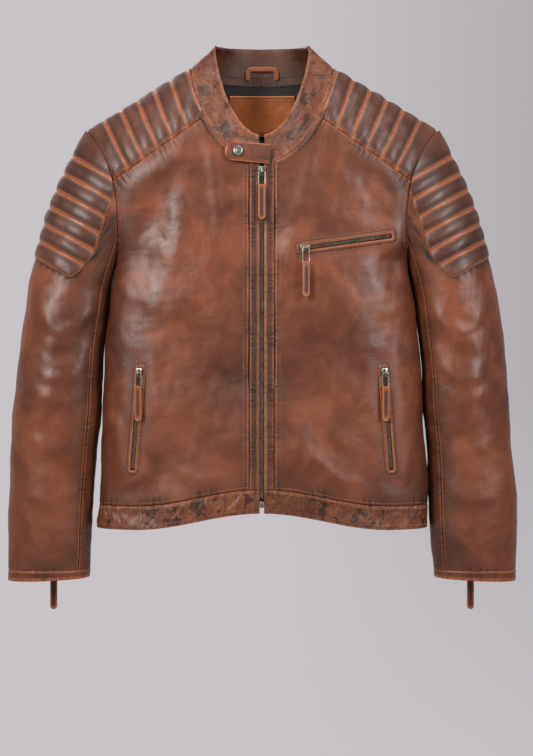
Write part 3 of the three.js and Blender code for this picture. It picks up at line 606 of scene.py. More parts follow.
def drape(at):
    """Long soft folds over the whole body, and a fine unevenness."""
    x, z = at[..., 0], at[..., 2]
    front = at[..., 1] < 0
    height = 2.3 * ripple(at, 11, 170) + 0.85 * ripple(at, 12, 75)
    height += 0.22 * ripple(at, 13, 30) + 0.1 * ripple(at, 14, 15)
    folds = (
        ([(-74, -92), (-66, -170), (-56, -262)], 10, 2.2),
        ([(-122, -118), (-150, -210), (-172, -310), (-190, -410)], 24, -4.0),
        ([(-100, -150), (-118, -240), (-128, -330)], 16, 1.6),
        ([(72, -88), (66, -160), (52, -235)], 11, 1.8),
        ([(120, -118), (160, -200), (188, -300), (205, -400)], 22, -3.6),
        ([(200, -190), (203, -260), (198, -335)], 8, 2.0),
        ([(150, -128), (182, -190), (196, -240)], 10, -1.4),
        ([(40, -500), (66, -556), (108, -590), (160, -602)], 9, 2.2),
        ([(52, -475), (90, -545), (150, -575)], 12, -1.6),
        ([(-84, -345), (-44, -388)], 8, 1.1),
        ([(-80, -448), (-30, -492)], 8, 1.2),
        ([(-150, -560), (-90, -590), (-30, -585)], 10, 1.3),
        ([(-215, -300), (-190, -330), (-150, -345)], 9, 1.2),
        ([(212, -330), (188, -352), (150, -360)], 9, 1.2),
        ([(-228, -480), (-205, -520), (-200, -590)], 10, 1.3),
        ([(230, -500), (208, -540), (205, -600)], 10, 1.3),
    )
    front_height = sum(fold(x, z, *f) for f in folds)
    back_folds = (
        ([(-120, -60), (-60, -160), (-20, -260)], 22, -2.5),
        ([(120, -60), (60, -160), (20, -260)], 22, -2.5),
        ([(-190, -260), (-120, -330), (-60, -350)], 14, 2.2),
        ([(190, -260), (120, -330), (60, -350)], 14, 2.2),
        ([(-60, -420), (0, -450), (70, -425)], 14, 1.8),
    )
    back_height = sum(fold(x, z, *f) for f in back_folds)
    return height + np.where(front, front_height, back_height)


YOKE_SEAM_FRONT = [(YOKE_NECK_X, -YOKE_NECK_DROP), (YOKE_ARM_X, -YOKE_ARM_DROP)]
YOKE_SEAM_BACK = [(YOKE_BACK_X, -YOKE_BACK_TOP), (YOKE_ARM_X, -YOKE_BACK_DROP)]


def body_relief(at, facing_way):
    """The relief of a front panel (1) or the back panel (-1)."""
    x, z = np.abs(at[..., 0]), at[..., 2]
    relief = Relief(x.shape)
    zs = np.linspace(-YOKE_ARM_DROP, -UNDERARM_DROP, 14)
    armhole = np.stack([armhole_x(zs), zs], -1)
    yoke_seam = YOKE_SEAM_FRONT if facing_way > 0 else YOKE_SEAM_BACK
    from_yoke, along, _ = to_line(x, z, yoke_seam)
    relief.height += drape(at) * smooth(np.minimum(from_yoke, to_line(x, z, armhole)[0]), -2, 32)
    if facing_way > 0:
        relief.seam(from_yoke, along, puckers=1.3, pitch=6.6, reach=10, burn=0.7)
        xs = np.linspace(0, YOKE_NECK_X, 24)
        distance, along, _ = to_line(x, z, np.stack([xs, neckline(xs)], -1))
        relief.seam(distance, along, puckers=0.5, reach=7)
        relief.seam(np.abs(x - 17.5), z, puckers=0.45, pitch=6.5, reach=7, burn=0.7)
    else:
        relief.seam(from_yoke, along, puckers=0.5, reach=7)
        relief.seam(np.abs(z - back_edge(x)) + 8 * (x > YOKE_BACK_X), x, puckers=0.3)
    distance, along, _ = to_line(x, z, armhole)
    relief.seam(distance, along, puckers=0.35, burn=0.6)
    hem = hem_seam(angle_at(x, z))
    relief.seam(np.abs(z - hem), x, puckers=1.0, pitch=6.5, reach=9, burn=0.5)
    # Painted shade near the armhole, along the hem seam, at the sides, below the yoke seam and beside the
    # placket; the body also darkens towards the bottom.
    relief.dark += 0.16 * smooth(-z, 330, 560) + 0.34 * bump(distance, 26)
    relief.dark += 0.25 * bump(z - hem, 26) + 0.3 * smooth(x / half_width(z), 0.84, 1.0)
    if facing_way > 0:
        relief.dark += 0.22 * bump(from_yoke, 22) + 0.3 * bump(x - 17.5, 12)
    return relief


# ---- Zips: where each one lies ----


class Place:
    """Axes of a zip: across it, into the jacket, and up it past the slider."""

    def __init__(self, name, length, front):
        slide, swing = JOINTS[name + "_slide"], JOINTS[name + "_pull_swing"]
        self.name, self.length, self.front = name, length, front
        self.origin = np.array(slide["pos_m"]) * 1000
        self.up = unit(-np.array(slide["axis"]))
        side = unit(-np.array(swing["axis"]))
        inward = np.cross([0, 0, 1.0], side)
        self.inward = unit(inward - self.up * (inward @ self.up))
        self.across = np.cross(self.inward, self.up)
        self.axes = np.stack([self.across, self.inward, self.up])
        self.pivot = np.array(swing["pos_m"]) * 1000
        self.hang = np.stack([side, np.cross([0, 0, 1.0], side), [0, 0, 1.0]])

    def put(self, local):
        return self.origin + np.asarray(local, float) @ self.axes

    def local(self, points):
        return (points - self.origin) @ self.axes.T

    def hanging(self, local):
        return self.pivot + np.asarray(local, float) @ self.hang


def length_on_body(x, z, lean_x, lean_z, length):
    ends = [(x, z), (x + lean_x * length, z + lean_z * length)]
    a, b = (body(angle_at(np.array(p[0]), np.array(p[1])), np.array(float(p[1]))) for p in ends)
    return float(np.linalg.norm(a - b))


HAND_LENGTH = length_on_body(171.0, -434.0, np.sin(0.078), -np.cos(0.078), 144)
CHEST_LENGTH = length_on_body(53.0, -267.0, np.cos(0.148), np.sin(0.148), 130)
POCKETS = {
    "hand_zip_right": Place("hand_zip_right", HAND_LENGTH, 1.6),
    "hand_zip_left": Place("hand_zip_left", HAND_LENGTH, 1.6),
    "chest_zip": Place("chest_zip", CHEST_LENGTH, 1.6),
}
CUFF_ZIPS = {s: Place(f"cuff_zip_{s}", 138, 1.2) for s, _ in SIDES}
MAIN_ZIP = Place("main_zip", 478, 0)
SLOT_HALF = 3.15


def outside_slot(local, length):
    """Distance in the zip's plane from its slot, 0 inside the slot."""
    over = np.abs(local[..., 0]) - SLOT_HALF
    end = np.maximum(local[..., 2] - 0.35, -length - 0.35 - local[..., 2])
    return np.hypot(np.maximum(over, 0), np.maximum(end, 0)), np.maximum(over, end)


def lie_on_zips(at, relief, places):
    """Draws leather flat to each zip's plane round its slot, and sinks it behind the teeth."""
    for place in places:
        local = place.local(at)
        distance, signed = outside_slot(local, place.length)
        pull = 1 - smooth(distance, 7, 34)
        target = mix(0.5, 4.2, 1 - smooth(signed, -1.2, 0.6))
        shift = (target - local[..., 1]) * pull * (np.abs(local[..., 1]) < 40)
        at = at + place.inward * shift[..., None]
        if relief is not None:
            phase = np.sin((local[..., 2] + local[..., 0]) * 1.05 + 1.5 * np.sin(local[..., 2] * 0.21))
            gather = (0.5 + 0.5 * phase) * bump(np.maximum(distance - 5.4, 0), 5)
            # Painted shade in the gathers round the slot and in a line along its edge.
            relief.dark += 0.6 * gather
            relief.dark += 0.5 * bump(distance - 5.3, 1.4)
    return at


def front_height(sign):
    places = [p for n, p in POCKETS.items() if n.endswith("right") == (sign < 0)]

    def height_of(points, out, a, b):
        relief = body_relief(points, 1)
        moved = points + out * relief.height[..., None]
        return lie_on_zips(moved, None, places)

    return height_of, places


# ---- Body panels ----

made = {}


def grid(columns, rows):
    return np.linspace(0, 1, columns)[None, :], np.linspace(0, 1, rows)[:, None]


def keep(obj, slot, *nodes, ride="shell", sleeve_of=None):
    """Ties a piece to the frame: its finish, the CAD nodes it stands for, and the body it moves with; a
    sleeve piece is not attached, only its transform is baked.
    """
    made[obj.name] = obj
    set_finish(obj, slot)
    if nodes:
        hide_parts(*nodes)
    if sleeve_of:
        sign = -1 if sleeve_of == "right" else 1
        start, end = (sign * 0.2552, 0, -0.0592), (sign * 0.3604, 0, -0.0836)
        "sleeve_" + sleeve_of
        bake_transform(obj)
    else:
        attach(obj, ride)
    return obj


def sheet(obj, at):
    """Works out the flat size and area of a piece's undraped grid, and returns the piece."""
    size, area = flat_size(at)
    return obj


for tag, sign in SIDES:
    u, v = grid(190, 340)
    angle, z = panel_angles(u**0.9, v**1.15, 1, 17.5, front_edge)
    at, out = body_frame(sign * angle, z)
    height_of, places = front_height(sign)
    relief = body_relief(at, 1)
    moved = lie_on_zips(at + out * relief.height[..., None], relief, places)
    piece = panel(f"front_{tag}", moved, out, {"burn": relief.burn, "dark": relief.dark})
    sheet(keep(piece, "body_leather", f"front_panel_{tag}"), at)
    skin = Skin(body_frame, height_of)
    group = "body_" + tag
    for inset in (3.0, 8.0):
        zs = np.linspace(-152, -603, 260)
        skin.sew(group, sign * angle_at(0 * zs + 17.5 + inset, zs), zs)
    for inset in (2.2, 6.2):
        xs = np.linspace(YOKE_NECK_X + 2, YOKE_ARM_X - 4, 90)
        zs = front_edge(xs) - inset * 1.24
        skin.sew(group, sign * angle_at(xs, zs), zs)
    zs = np.linspace(-172, -262, 50)
    skin.sew(group, sign * angle_at(armhole_x(zs) - 5.4, zs), zs)
    xs = np.linspace(20, 225, 120)
    zs = hem_seam(angle_at(xs, -HEM_DROP)) + 4.2
    skin.sew(group, sign * angle_at(xs, zs), zs)
    xs = np.linspace(19, YOKE_NECK_X - 3, 50)
    zs = neckline(xs) - 4.0
    skin.sew(group, sign * angle_at(xs, zs), zs)

    lining_at, lining_out = body_frame(sign * angle[8:-3:4, ::4], z[8:-3:4, ::4])
    flat = lining_at - lining_out * 3.6
    inner = lie_on_zips(flat, None, places)
    sunk = np.sum((inner - flat) * lining_out, -1, keepdims=True)
    sunk = np.minimum(sunk, 0) + np.minimum(drape(lining_at), 0)[..., None]
    lining = panel(f"front_lining_piece_{tag}", flat + lining_out * (sunk - 2.5), lining_out, rim=1)
    sheet(keep(lining, "black_lining", f"front_lining_{tag}"), lining_at)

u = np.linspace(-1, 1, 300)[None, :]
v = np.linspace(0, 1, 220)[:, None]
angle, z = panel_angles(np.abs(u), v, -1, 0.01, back_edge)
angle = np.where(u < 0, -angle, angle)
at, out = body_frame(angle, z)
relief = body_relief(at, -1)
piece = panel("back", at + out * relief.height[..., None], out, {"burn": relief.burn, "dark": relief.dark})
sheet(keep(piece, "body_leather", "back_panel"), at)
lining_at, lining_out = at[0:-3:3, ::3], out[0:-3:3, ::3]
creases = 0.9 * ripple(lining_at, 21, 46) + 0.35 * ripple(lining_at, 22, 17)
creases = creases + np.minimum(drape(lining_at), 0) / 0.6
neck_part = smooth(YOKE_BACK_X - np.abs(lining_at[0, :, 0]), -6, 10)
lining_at = lining_at.copy()
lining_at[0] += np.stack([0 * neck_part, -1.5 * neck_part, 9 * neck_part], -1)
lining_at[1] += np.stack([0 * neck_part, -0.5 * neck_part, 5 * neck_part], -1)
inside = lining_at - lining_out * (4.6 - 0.6 * creases[..., None])
lining = panel("back_lining_piece", inside, -lining_out, rim=-1)
sheet(keep(lining, "black_lining", "back_lining"), lining_at)
back_skin = Skin(body_frame, lambda p, n, a, b: p + n * body_relief(p, -1).height[..., None])
for sign in (-1, 1):
    xs = np.linspace(YOKE_BACK_X + 2, YOKE_ARM_X - 4, 110)
    zs = mix(-4, -140, (xs - YOKE_BACK_X) / (YOKE_ARM_X - YOKE_BACK_X)) - 5
    back_skin.sew("body_back", sign * (PI - angle_at(xs, zs)), zs)
    zs = np.linspace(-150, -262, 60)
    back_skin.sew("body_back", sign * (PI - angle_at(armhole_x(zs) - 5.4, zs)), zs)
xs = np.linspace(-225, 225, 240)
back_skin.sew("body_back", PI - angle_at(xs, -625.0), hem_seam(angle_at(xs, -625.0)) + 4.2)

# ---- Quilted yokes ----

YOKE_SEAMS = 0.045 + 0.158 * np.arange(6)


def yoke_relief(at, u, w):
    relief = Relief(u.shape)
    scale = mix(174, 153, np.abs(w))
    distance = np.min([np.abs(u - k) * scale for k in YOKE_SEAMS], axis=0)
    relief.groove(distance)
    relief.height += 0.35 * ripple(at, 31, 30)
    relief.height += 0.25 * np.sin(w * 30 + 3 * ripple(at, 32, 60)) * bump(distance, 6)
    for edge, reach in ((-1, 108), (1, 120)):
        near = np.abs(w - edge) * reach * 0.75 + 0.4
        relief.height -= 2.2 * bump(near, 5)
        relief.seam(near, u * 165, puckers=0.45, reach=5, burn=0.6)
    for edge in (0, 1):
        near = np.abs(u - edge) * scale + 0.3
        relief.height -= 1.8 * bump(near, 4)
        relief.seam(near, w * 105, puckers=0.3, burn=0.8)
    return relief


def yoke_frame(u, w):
    at = yoke(u, w)
    outward = vec(0 * u, np.sign(w) * 0.6, 1 + 0 * u)
    out = normals(yoke, clamp(u, 0.01, 0.99), clamp(w, -0.985, 0.985), 0.004, 0.004, outward)
    return at, out


def yoke_height(points, out, u, w):
    return points + out * yoke_relief(points, u, w).height[..., None]


for tag, sign in SIDES:
    u = np.linspace(0, 1, 200)[None, :]
    w = np.linspace(-1, 1, 200)[:, None]
    u, w = np.broadcast_arrays(u, w)
    at, out = yoke_frame(u, w)
    at, out = at * [sign, 1, 1], out * [sign, 1, 1]
    relief = yoke_relief(at, u, w)
    height = relief.height[..., None]
    piece = panel(f"yoke_{tag}", at + out * height, out, {"burn": relief.burn, "dark": relief.dark}, tuck=6)
    sheet(keep(piece, "quilted_leather", f"shoulder_yoke_{tag}"), at)
    skin = Skin(yoke_frame, yoke_height, sign)
    w = np.linspace(-0.97, 0.97, 200)
    for k in YOKE_SEAMS:
        for beside in (-2.4, 2.4):
            skin.sew("yoke_" + tag, k + beside / 165 + 0 * w, w)
    us = np.linspace(0.03, 0.97, 120)
    skin.sew("yoke_" + tag, us, 0 * us - 0.965)
    skin.sew("yoke_" + tag, us, 0 * us + 0.965)

# ---- Hem band: the leather turned up inside ----

HEM_HEIGHT = 33
for tag, nodes_sign in (("right", -1), ("left", 1), ("back", 0)):
    if nodes_sign:
        across = column_angle(np.linspace(0, 1, 220), np.full(220, -HEM_DROP), 3.15)
        angle = nodes_sign * across
    else:
        half = column_angle(np.linspace(0, 1, 200), np.full(200, -HEM_DROP), 0.01)
        angle = np.r_[-(PI - half)[::-1], (PI - half)[1:]]
    turn = np.linspace(0, PI, 9)[1:-1]
    depth = np.r_[2.9, 2.8, np.zeros(24), 1.7 - 1.7 * np.cos(turn), np.full(8, 3.4)]
    lower = HEM_HEIGHT - 1.7
    down = np.r_[-5, -0.3, np.linspace(0, lower, 24), lower + 1.7 * np.sin(turn), np.linspace(lower, 2, 8)]
    top = hem_seam(angle) - HALF_SEAM
    angle2, down2 = np.broadcast_arrays(angle[None, :], down[:, None])
    at, out = body_frame(angle2, top[None, :] - down2)
    along = np.r_[0, np.cumsum(np.linalg.norm(np.diff(at[0], axis=0), axis=1))][None, :] + 0 * down2
    relief = Relief(angle2.shape)
    relief.seam(np.maximum(down2, 0) + 0.2, along, puckers=1.3, pitch=6.0, reach=11, roll=0.5, burn=0.6)
    # Painted shade along the hem seam.
    relief.dark += 0.5 * bump(down2, 1.2)
    relief.height -= 1.1 * smooth(np.abs(at[..., 0]), 10, 7) * (at[..., 1] < 0)
    relief.seam(np.abs(down2 - HEM_HEIGHT) + 1, along + 40, puckers=0.35, pitch=8, reach=6, roll=0, burn=0.8)
    outer = ((depth < 1.7) | (down < 0))[:, None]
    worn = 0.45 * ripple(at, 41, 16) + 0.25 * ripple(at, 42, 8)
    height = relief.height * outer - depth[:, None] + worn * outer + drape(at) * smooth(down2, 40, 0)
    points = at + out * height[..., None]
    outward = out * np.where(outer, 1, -1)[..., None]
    # The inside of the turned-up band gets painted shade.
    values = {"burn": relief.burn, "dark": relief.dark + 0.5 * (1 - outer)}
    piece = folded_grid(f"hem_{tag}", points, outward, values)
    sheet(keep(piece, "band_leather", f"hem_band_{tag}"), at)
    for line in (4.5, HEM_HEIGHT - 6.0):
        row = int(np.argmin(np.abs(down - line) + 100 * (depth > 0)))
        clear = (np.abs(at[row, :, 0]) > 11) | (at[row, :, 1] > 0)
        stitch("body_" + tag, points[row, clear], out[row, clear])

# ---- Sleeves ----

SEAM_ANGLE = 2.45 - 0.012
CUFF_TOP = 1 - 14 / 580


def sleeve_relief(at, angle, v):
    x, z = np.abs(at[..., 0]), at[..., 2]
    relief = Relief(x.shape)
    side = 13 if np.mean(at[..., 0]) < 0 else 14
    fade = smooth(v, 0, 0.08) * smooth(CUFF_TOP - v, -0.005, 0.07)
    unevenness = 2.0 * ripple(at, side, 190) + 0.9 * ripple(at, side + 20, 80)
    unevenness = unevenness + 0.26 * ripple(at, side + 40, 30) + 0.1 * ripple(at, side + 60, 15)
    relief.height += fade * unevenness
    folds = (
        ([(232, -335), (262, -372), (300, -392)], 9, 2.4),
        ([(236, -372), (268, -410), (318, -424)], 10, -2.2),
        ([(240, -420), (275, -446), (325, -452)], 9, 2.0),
        ([(330, -330), (300, -372), (262, -400)], 9, 1.4),
        ([(348, -430), (318, -470), (262, -492)], 10, 1.8),
        ([(350, -520), (310, -548), (258, -556)], 11, 1.6),
        ([(262, -600), (300, -622), (345, -618)], 10, 1.5),
        ([(300, -290), (306, -420), (310, -560)], 16, 1.5),
        ([(330, -640), (300, -664), (262, -662)], 9, 1.3),
    )
    relief.height += sum(fold(x, z, *f) for f in folds)
    around = np.abs((np.abs(angle) % (2 * PI)) - 2.45)
    around = np.minimum(around, np.abs(2 * PI - np.abs(angle) % (2 * PI) - 2.45))
    # Painted shade on the sleeve's inner side; the sleeve also darkens towards the cuff.
    relief.dark += 0.4 * smooth(-np.cos(angle), 0.1, 0.9) + 0.26 * smooth(v, 0.3, 0.95)
    low = smooth(v, 0.45, 0.8)
    relief.seam(around * 62 + 0.3, z, puckers=0.25 + 0.5 * float(np.mean(low)), reach=6, burn=0.5)
    relief.seam(v * 660, angle * 60, puckers=0.5, reach=8, burn=0.7)
    relief.seam((CUFF_TOP - v) * 660 + 0.5, angle * 50, puckers=0.3, burn=0.5)
    return relief


def sleeve_height(points, out, angle, v):
    return points + out * sleeve_relief(points, angle, v).height[..., None]


def patch_level(at):
    """Height below the neck points, raised towards the middle, along which the sleeve's ribs run."""
    ox, oz = along_curve(OUTER_EDGE, np.linspace(0, 1, 200))
    outer = np.interp(at[..., 2], oz[::-1], ox[::-1])
    return at[..., 2] + 0.48 * np.maximum(outer - np.abs(at[..., 0]), 0)


PATCH_SEAMS = -128 - 24.5 * np.arange(6)
PATCH_BOTTOM = -275
DOWN_SLEEVE = np.linspace(0, 0.5, 120)


def patch_params(c, t):
    """Angle and v on the sleeve of the patch's columns c (-1 to 1, round the arm) and rows t (down)."""
    bottom_angles = np.linspace(-2.2, 2.2, 61)
    levels = patch_level(sleeve(bottom_angles[:, None], DOWN_SLEEVE[None, :]))
    lowest = np.array([np.interp(-PATCH_BOTTOM, -row, DOWN_SLEEVE) for row in levels])
    widest = 2.02
    corner = 0.06 * smooth(np.abs(c), 0.72, 1.0) ** 1.5
    bottom = np.interp(c * widest * 0.98, bottom_angles, lowest) - corner
    v = mix(0.001, bottom, t)
    reach = mix(1.66, widest, smooth(v, 0.0, 0.17))
    return c * reach, v


def patch_relief(at, c, t):
    relief = Relief(c.shape)
    level = patch_level(at)
    distance = np.min([np.abs(level - k) for k in PATCH_SEAMS], axis=0) / 1.1
    relief.groove(distance, depth=2.2, width=6.0)
    relief.height += 0.35 * ripple(at, 51, 30)
    edge = np.minimum((1 - np.abs(c)) * 125, (1 - t) * 195)
    relief.height -= 2.0 * bump(edge, 4)
    relief.burn += 0.85 * bump(edge - 1.0, 2.2)
    relief.height -= 1.6 * bump(t * 195, 4)
    relief.burn += 0.5 * bump(t * 195, 2.5)
    return relief


def cuff_opening(at, relief, place):
    """Lays the back of a sleeve along its zip, opens it over the teeth and folds its edges under."""
    local = place.local(at)
    distance, signed = outside_slot(local, place.length)
    near = (np.abs(local[..., 1]) < 30) * (1 - smooth(distance, 5, 26))
    target = mix(0.2, 4.0, 1 - smooth(signed, -1.4, 0.5)) - 0.9 * bump(distance - 2.2, 2.0)
    relief.burn += 0.9 * bump(distance - 1.0, 1.5) * near + 0.5 * bump(distance - 7.0, 1.5) * near
    # Painted shade in a line beside the zip, where the edge folds under.
    relief.dark += 0.7 * bump(distance - 4.5, 1.6) * near
    return at + place.inward * ((target - local[..., 1]) * near)[..., None]


for tag, sign in SIDES:
    parts = (("top", -SEAM_ANGLE, SEAM_ANGLE, 200), ("under", 2.462, 2 * PI - 2.462, 60))
    for part, low, high, columns in parts:
        a, v = np.linspace(low, high, columns)[None, :], np.linspace(0.0, CUFF_TOP - 0.001, 300)[:, None]
        a, v = np.broadcast_arrays(a, v)
        at, out = sleeve_frame(a, v)
        at, out = at * [sign, 1, 1], out * [sign, 1, 1]
        relief = sleeve_relief(at, a, v)
        height = relief.height
        if part == "top":
            c = clamp(np.abs(a) / 2.02, 0, 1)
            _, bottom = patch_params(c, np.ones(c.shape))
            under_patch = smooth(bottom - v, -0.004, 0.02) * smooth(2.02 - np.abs(a), -0.05, 0.1)
            near = np.hypot(np.maximum(v - bottom, 0) * 660, np.maximum(np.abs(a) - 2.0, 0) * 60)
            gather = (0.5 + 0.5 * np.sin(a * 38 + v * 130)) * bump(near, 9) * (1 - under_patch)
            height = height * (1 - 0.9 * under_patch) - 0.5 * under_patch - 0.5 * gather
            # Painted shade in the gathers round the patch and in a line along its edge.
            relief.dark += 0.9 * gather + 0.6 * bump(near, 3) * (1 - under_patch)
        moved = at + out * height[..., None]
        if part == "top":
            moved = cuff_opening(moved, relief, CUFF_ZIPS[tag])
        piece = panel(f"sleeve_{part}_{tag}", moved, out, {"burn": relief.burn, "dark": relief.dark})
        sheet(keep(piece, "body_leather", f"{part}_sleeve_{tag}", sleeve_of=tag), at)
    skin = Skin(sleeve_frame, sleeve_height, sign)
    vs = np.linspace(0.33, CUFF_TOP - 0.01, 200)
    for a in (SEAM_ANGLE - 0.05, -SEAM_ANGLE + 0.05):
        skin.sew("sleeve_" + tag, 0 * vs + a, vs)

    c, t = np.linspace(-1, 1, 220)[None, :], np.linspace(0, 1, 170)[:, None]
    c, t = np.broadcast_arrays(c, t)
    a, v = patch_params(c, t)
    at, out = sleeve_frame(a, v)
    at, out = at * [sign, 1, 1], out * [sign, 1, 1]
    relief = patch_relief(at, c, t)
    top = at + out * (relief.height + 0.9)[..., None]
    piece = panel(f"patch_{tag}", top, out, {"burn": relief.burn, "dark": relief.dark})
    sheet(keep(piece, "quilted_leather", f"sleeve_patch_{tag}", sleeve_of=tag), at)
    level = patch_level(at)
    for k in PATCH_SEAMS:
        for beside in (-2.6, 2.6):
            seam = -(k + beside)
            rows = [np.interp(seam, -below, np.arange(170), left=-1, right=-1) for below in level.T]
            rows = np.array(rows)
            good = (rows > 2) & (rows < 167)
            i = np.flatnonzero(good)
            if len(i) < 8:
                continue
            for run in np.split(i, np.flatnonzero(np.diff(i) > 1) + 1):
                low = rows[run].astype(int)
                share = (rows[run] - low)[:, None]
                line = mix(top[low, run], top[low + 1, run], share)
                stitch("sleeve_" + tag, line, out[low, run])
    inset = 5
    edge = np.r_[top[4:-inset, inset], top[-inset, inset:-inset], top[4:-inset, -inset][::-1]]
    edge_out = np.r_[out[4:-inset, inset], out[-inset, inset:-inset], out[4:-inset, -inset][::-1]]
    stitch("sleeve_" + tag, edge, edge_out)

    a = np.linspace(-PI / 2 + 0.11, 3 * PI / 2 - 0.11, 260)
    turn = np.linspace(0, PI, 9)[1:-1]
    down = np.r_[-0.4, -0.03, np.linspace(0, 1, 10), np.ones(7), np.linspace(1, 0.2, 6)]
    depth = np.r_[2.7, 2.6, np.zeros(10), 1.5 - 1.5 * np.cos(turn), np.full(6, 3.0)]
    over = np.r_[np.zeros(12), 1.5 * np.sin(turn), np.zeros(6)]
    v = mix(CUFF_TOP, 0.9965, down)[:, None] + over[:, None] / 640
    a, v = np.broadcast_arrays(a[None, :], v)
    at, out = sleeve_frame(a, clamp(v, 0, 0.9995))
    at, out = at * [sign, 1, 1], out * [sign, 1, 1]
    at[..., 2] -= over[:, None]
    relief = Relief(a.shape)
    relief.seam((1 - down)[:, None] * 14 + 0 * a + 1.0, a * 50, puckers=0.3, roll=0, burn=0.9)
    relief.seam(np.maximum(down, 0)[:, None] * 14 + 0 * a, a * 50 + 9, puckers=0.4, roll=0.5, burn=0.6)
    height = (relief.height + 0.3 * ripple(at, 61, 20)) * (depth < 1.5)[:, None] - depth[:, None]
    points = at + out * height[..., None]
    outward = out * np.where(depth < 1.5, 1, -1)[:, None, None]
    piece = folded_grid(f"cuff_{tag}", points, outward, {"burn": relief.burn, "dark": relief.dark})
    sheet(keep(piece, "trim_leather", f"cuff_band_{tag}", sleeve_of=tag), at)
    stitch("sleeve_" + tag, points[4], out[4])

# ---- Collar, its tab and the snap ----

OPENING = 0.05
WALL = 4.0
a = np.linspace(OPENING, 2 * PI - OPENING, 420)
turn = np.linspace(0, PI, 9)[1:-1]
share = np.r_[-0.12, 0, np.linspace(0.02, 1, 30), np.ones(7), np.linspace(1, -0.1, 14)]
depth = np.r_[2.8, 2.7, np.zeros(30), WALL / 2 * (1 - np.cos(turn)), np.full(14, WALL)]
over = np.r_[np.zeros(32), WALL / 2 * np.sin(turn), np.zeros(14)]
angle, shares = np.broadcast_arrays(a[None, :], share[:, None])
at = collar(angle, shares)
outward = vec(np.sin(angle), -np.cos(angle), 0 * angle)
out = normals(collar, angle, clamp(shares, 0.1, 0.98), 0.004, 0.01, outward)
tall = np.linalg.norm(collar(angle, 0 * shares + 1) - collar(angle, 0 * shares), axis=-1)
around = np.r_[0, np.cumsum(np.linalg.norm(np.diff(at[12], axis=0), axis=1))][None, :] + 0 * shares
relief = Relief(angle.shape)
from_top = (1 - shares) * tall
relief.seam(np.maximum(shares - 0.02, 0) * tall, around, puckers=0.8, pitch=6.5, reach=8, roll=0.5, burn=0.8)
relief.seam(from_top + 0.5, around + 30, puckers=0.7, pitch=7.5, reach=9, roll=0, burn=0.9)
relief.height += 0.4 * ripple(at, 71, 19) + 0.12 * ripple(at, 72, 9) + 0.7 * bump(from_top - 1, 2.5)
outer = (depth < WALL / 2)[:, None]
# The collar's inside gets painted shade.
relief.dark = np.where(outer, relief.dark, 0.75)
relief.burn = np.where(outer, relief.burn, 0.1)
height = relief.height * outer - depth[:, None]
points = at + out * height[..., None]
points[..., 2] += over[:, None]
side = out * np.where(outer, 1, -1)[..., None]
faces = facing(points.reshape(-1, 3), grid_faces(*angle.shape), side.reshape(-1, 3))
end_columns = [np.arange(len(share)) * len(a) + k for k in (0, len(a) - 1)]
half = len(share) // 2
caps = []
for k, column in enumerate(end_columns):
    quads = np.stack([column[: half - 1], column[1:half], column[::-1][1:half], column[::-1][: half - 1]], -1)
    p = points.reshape(-1, 3)
    facing_way = np.cross(p[quads[9, 1]] - p[quads[9, 0]], p[quads[9, 3]] - p[quads[9, 0]])
    toward = points[10, 0 if k == 0 else -1] - points[10, 3 if k == 0 else -4]
    caps.append(quads if facing_way @ toward > 0 else quads[:, ::-1])
values = {"burn": relief.burn, "dark": relief.dark}
piece = write_mesh("collar", points.reshape(-1, 3), [faces, *caps], values)
sheet(keep(piece, "band_leather", "collar_band"), at)
for distance in (5.5, 9.0):
    row = np.clip(distance / tall[0] / 0.98 * 29, 0, 28)
    low = row.astype(int) + 2
    i = np.arange(len(a))
    line = mix(points[low, i], points[low + 1, i], (row - low + 2)[:, None])
    stitch("collar", line, out[low, i])
row = np.clip((0.98 - 5.0 / tall[0]) / 0.98 * 29, 0, 28)
low = row.astype(int) + 2
stitch("collar", mix(points[low, i], points[low + 1, i], (row - low + 2)[:, None]), out[low, i])

TAB_LENGTH, TAB_WIDTH, TAB_LEATHER = 64, 27, 3.2
tilt = 0.09
tab_axes = np.array([[np.cos(tilt), 0, -np.sin(tilt)], [0, 1, 0], [np.sin(tilt), 0, np.cos(tilt)]])
TAB_BACK = -HALF_DEPTH - 0.4 - 1.8 - 0.4


def on_tab(local):
    return np.asarray(local, float) @ tab_axes + [12, 0, -135]


def rounded_ring(half_x, half_y, radius, count=28):
    """A rounded rectangle as a closed ring of points about the origin."""
    t = np.linspace(0, 2 * PI, count, endpoint=False) + PI / count
    cx, cy = np.sign(np.cos(t)) * (half_x - radius), np.sign(np.sin(t)) * (half_y - radius)
    return np.stack([cx + radius * np.cos(t), cy + radius * np.sin(t)], -1)


round_end = TAB_LENGTH - 13.5 + 13.3 * np.sin(np.linspace(0.05, PI / 2, 14))
stations = np.r_[0, np.linspace(0.4, TAB_LENGTH - 14, 36), round_end]
rings = []
for s in stations:
    past = max(s - (TAB_LENGTH - TAB_WIDTH / 2), 0)
    half = np.sqrt(max((TAB_WIDTH / 2) ** 2 - past**2, 1.0))
    if s == 0:
        half -= 0.8
    t = np.linspace(-1, 1, 25)
    z = half * np.sin(t * PI / 2)
    from_edge = np.minimum(half - np.abs(z), TAB_LENGTH - s + 0.5 if past == 0 else half - np.abs(z))
    swell = 0.75 * smooth(from_edge, 0, 3.0) - 0.35 * bump(from_edge - 3.4, 1.0)
    wrinkle = 0.35 * ripple(vec(s + 0 * z, 0 * z, z), 81, 14)
    face = TAB_BACK - TAB_LEATHER + 0.7 - swell - wrinkle * smooth(from_edge, 0, 3)
    front = np.stack([-s + 0 * z, face, z], -1)
    back = np.stack([-s + 0 * z, TAB_BACK + 0 * z, z], -1)[::-1]
    back[[0, -1], 1] -= 0.8
    rings.append(np.vstack([front, back]))
rings = np.array(rings)
edge = 1 - smooth(np.abs(np.abs(rings[..., 2]) - TAB_WIDTH / 2), 0, 2.6)
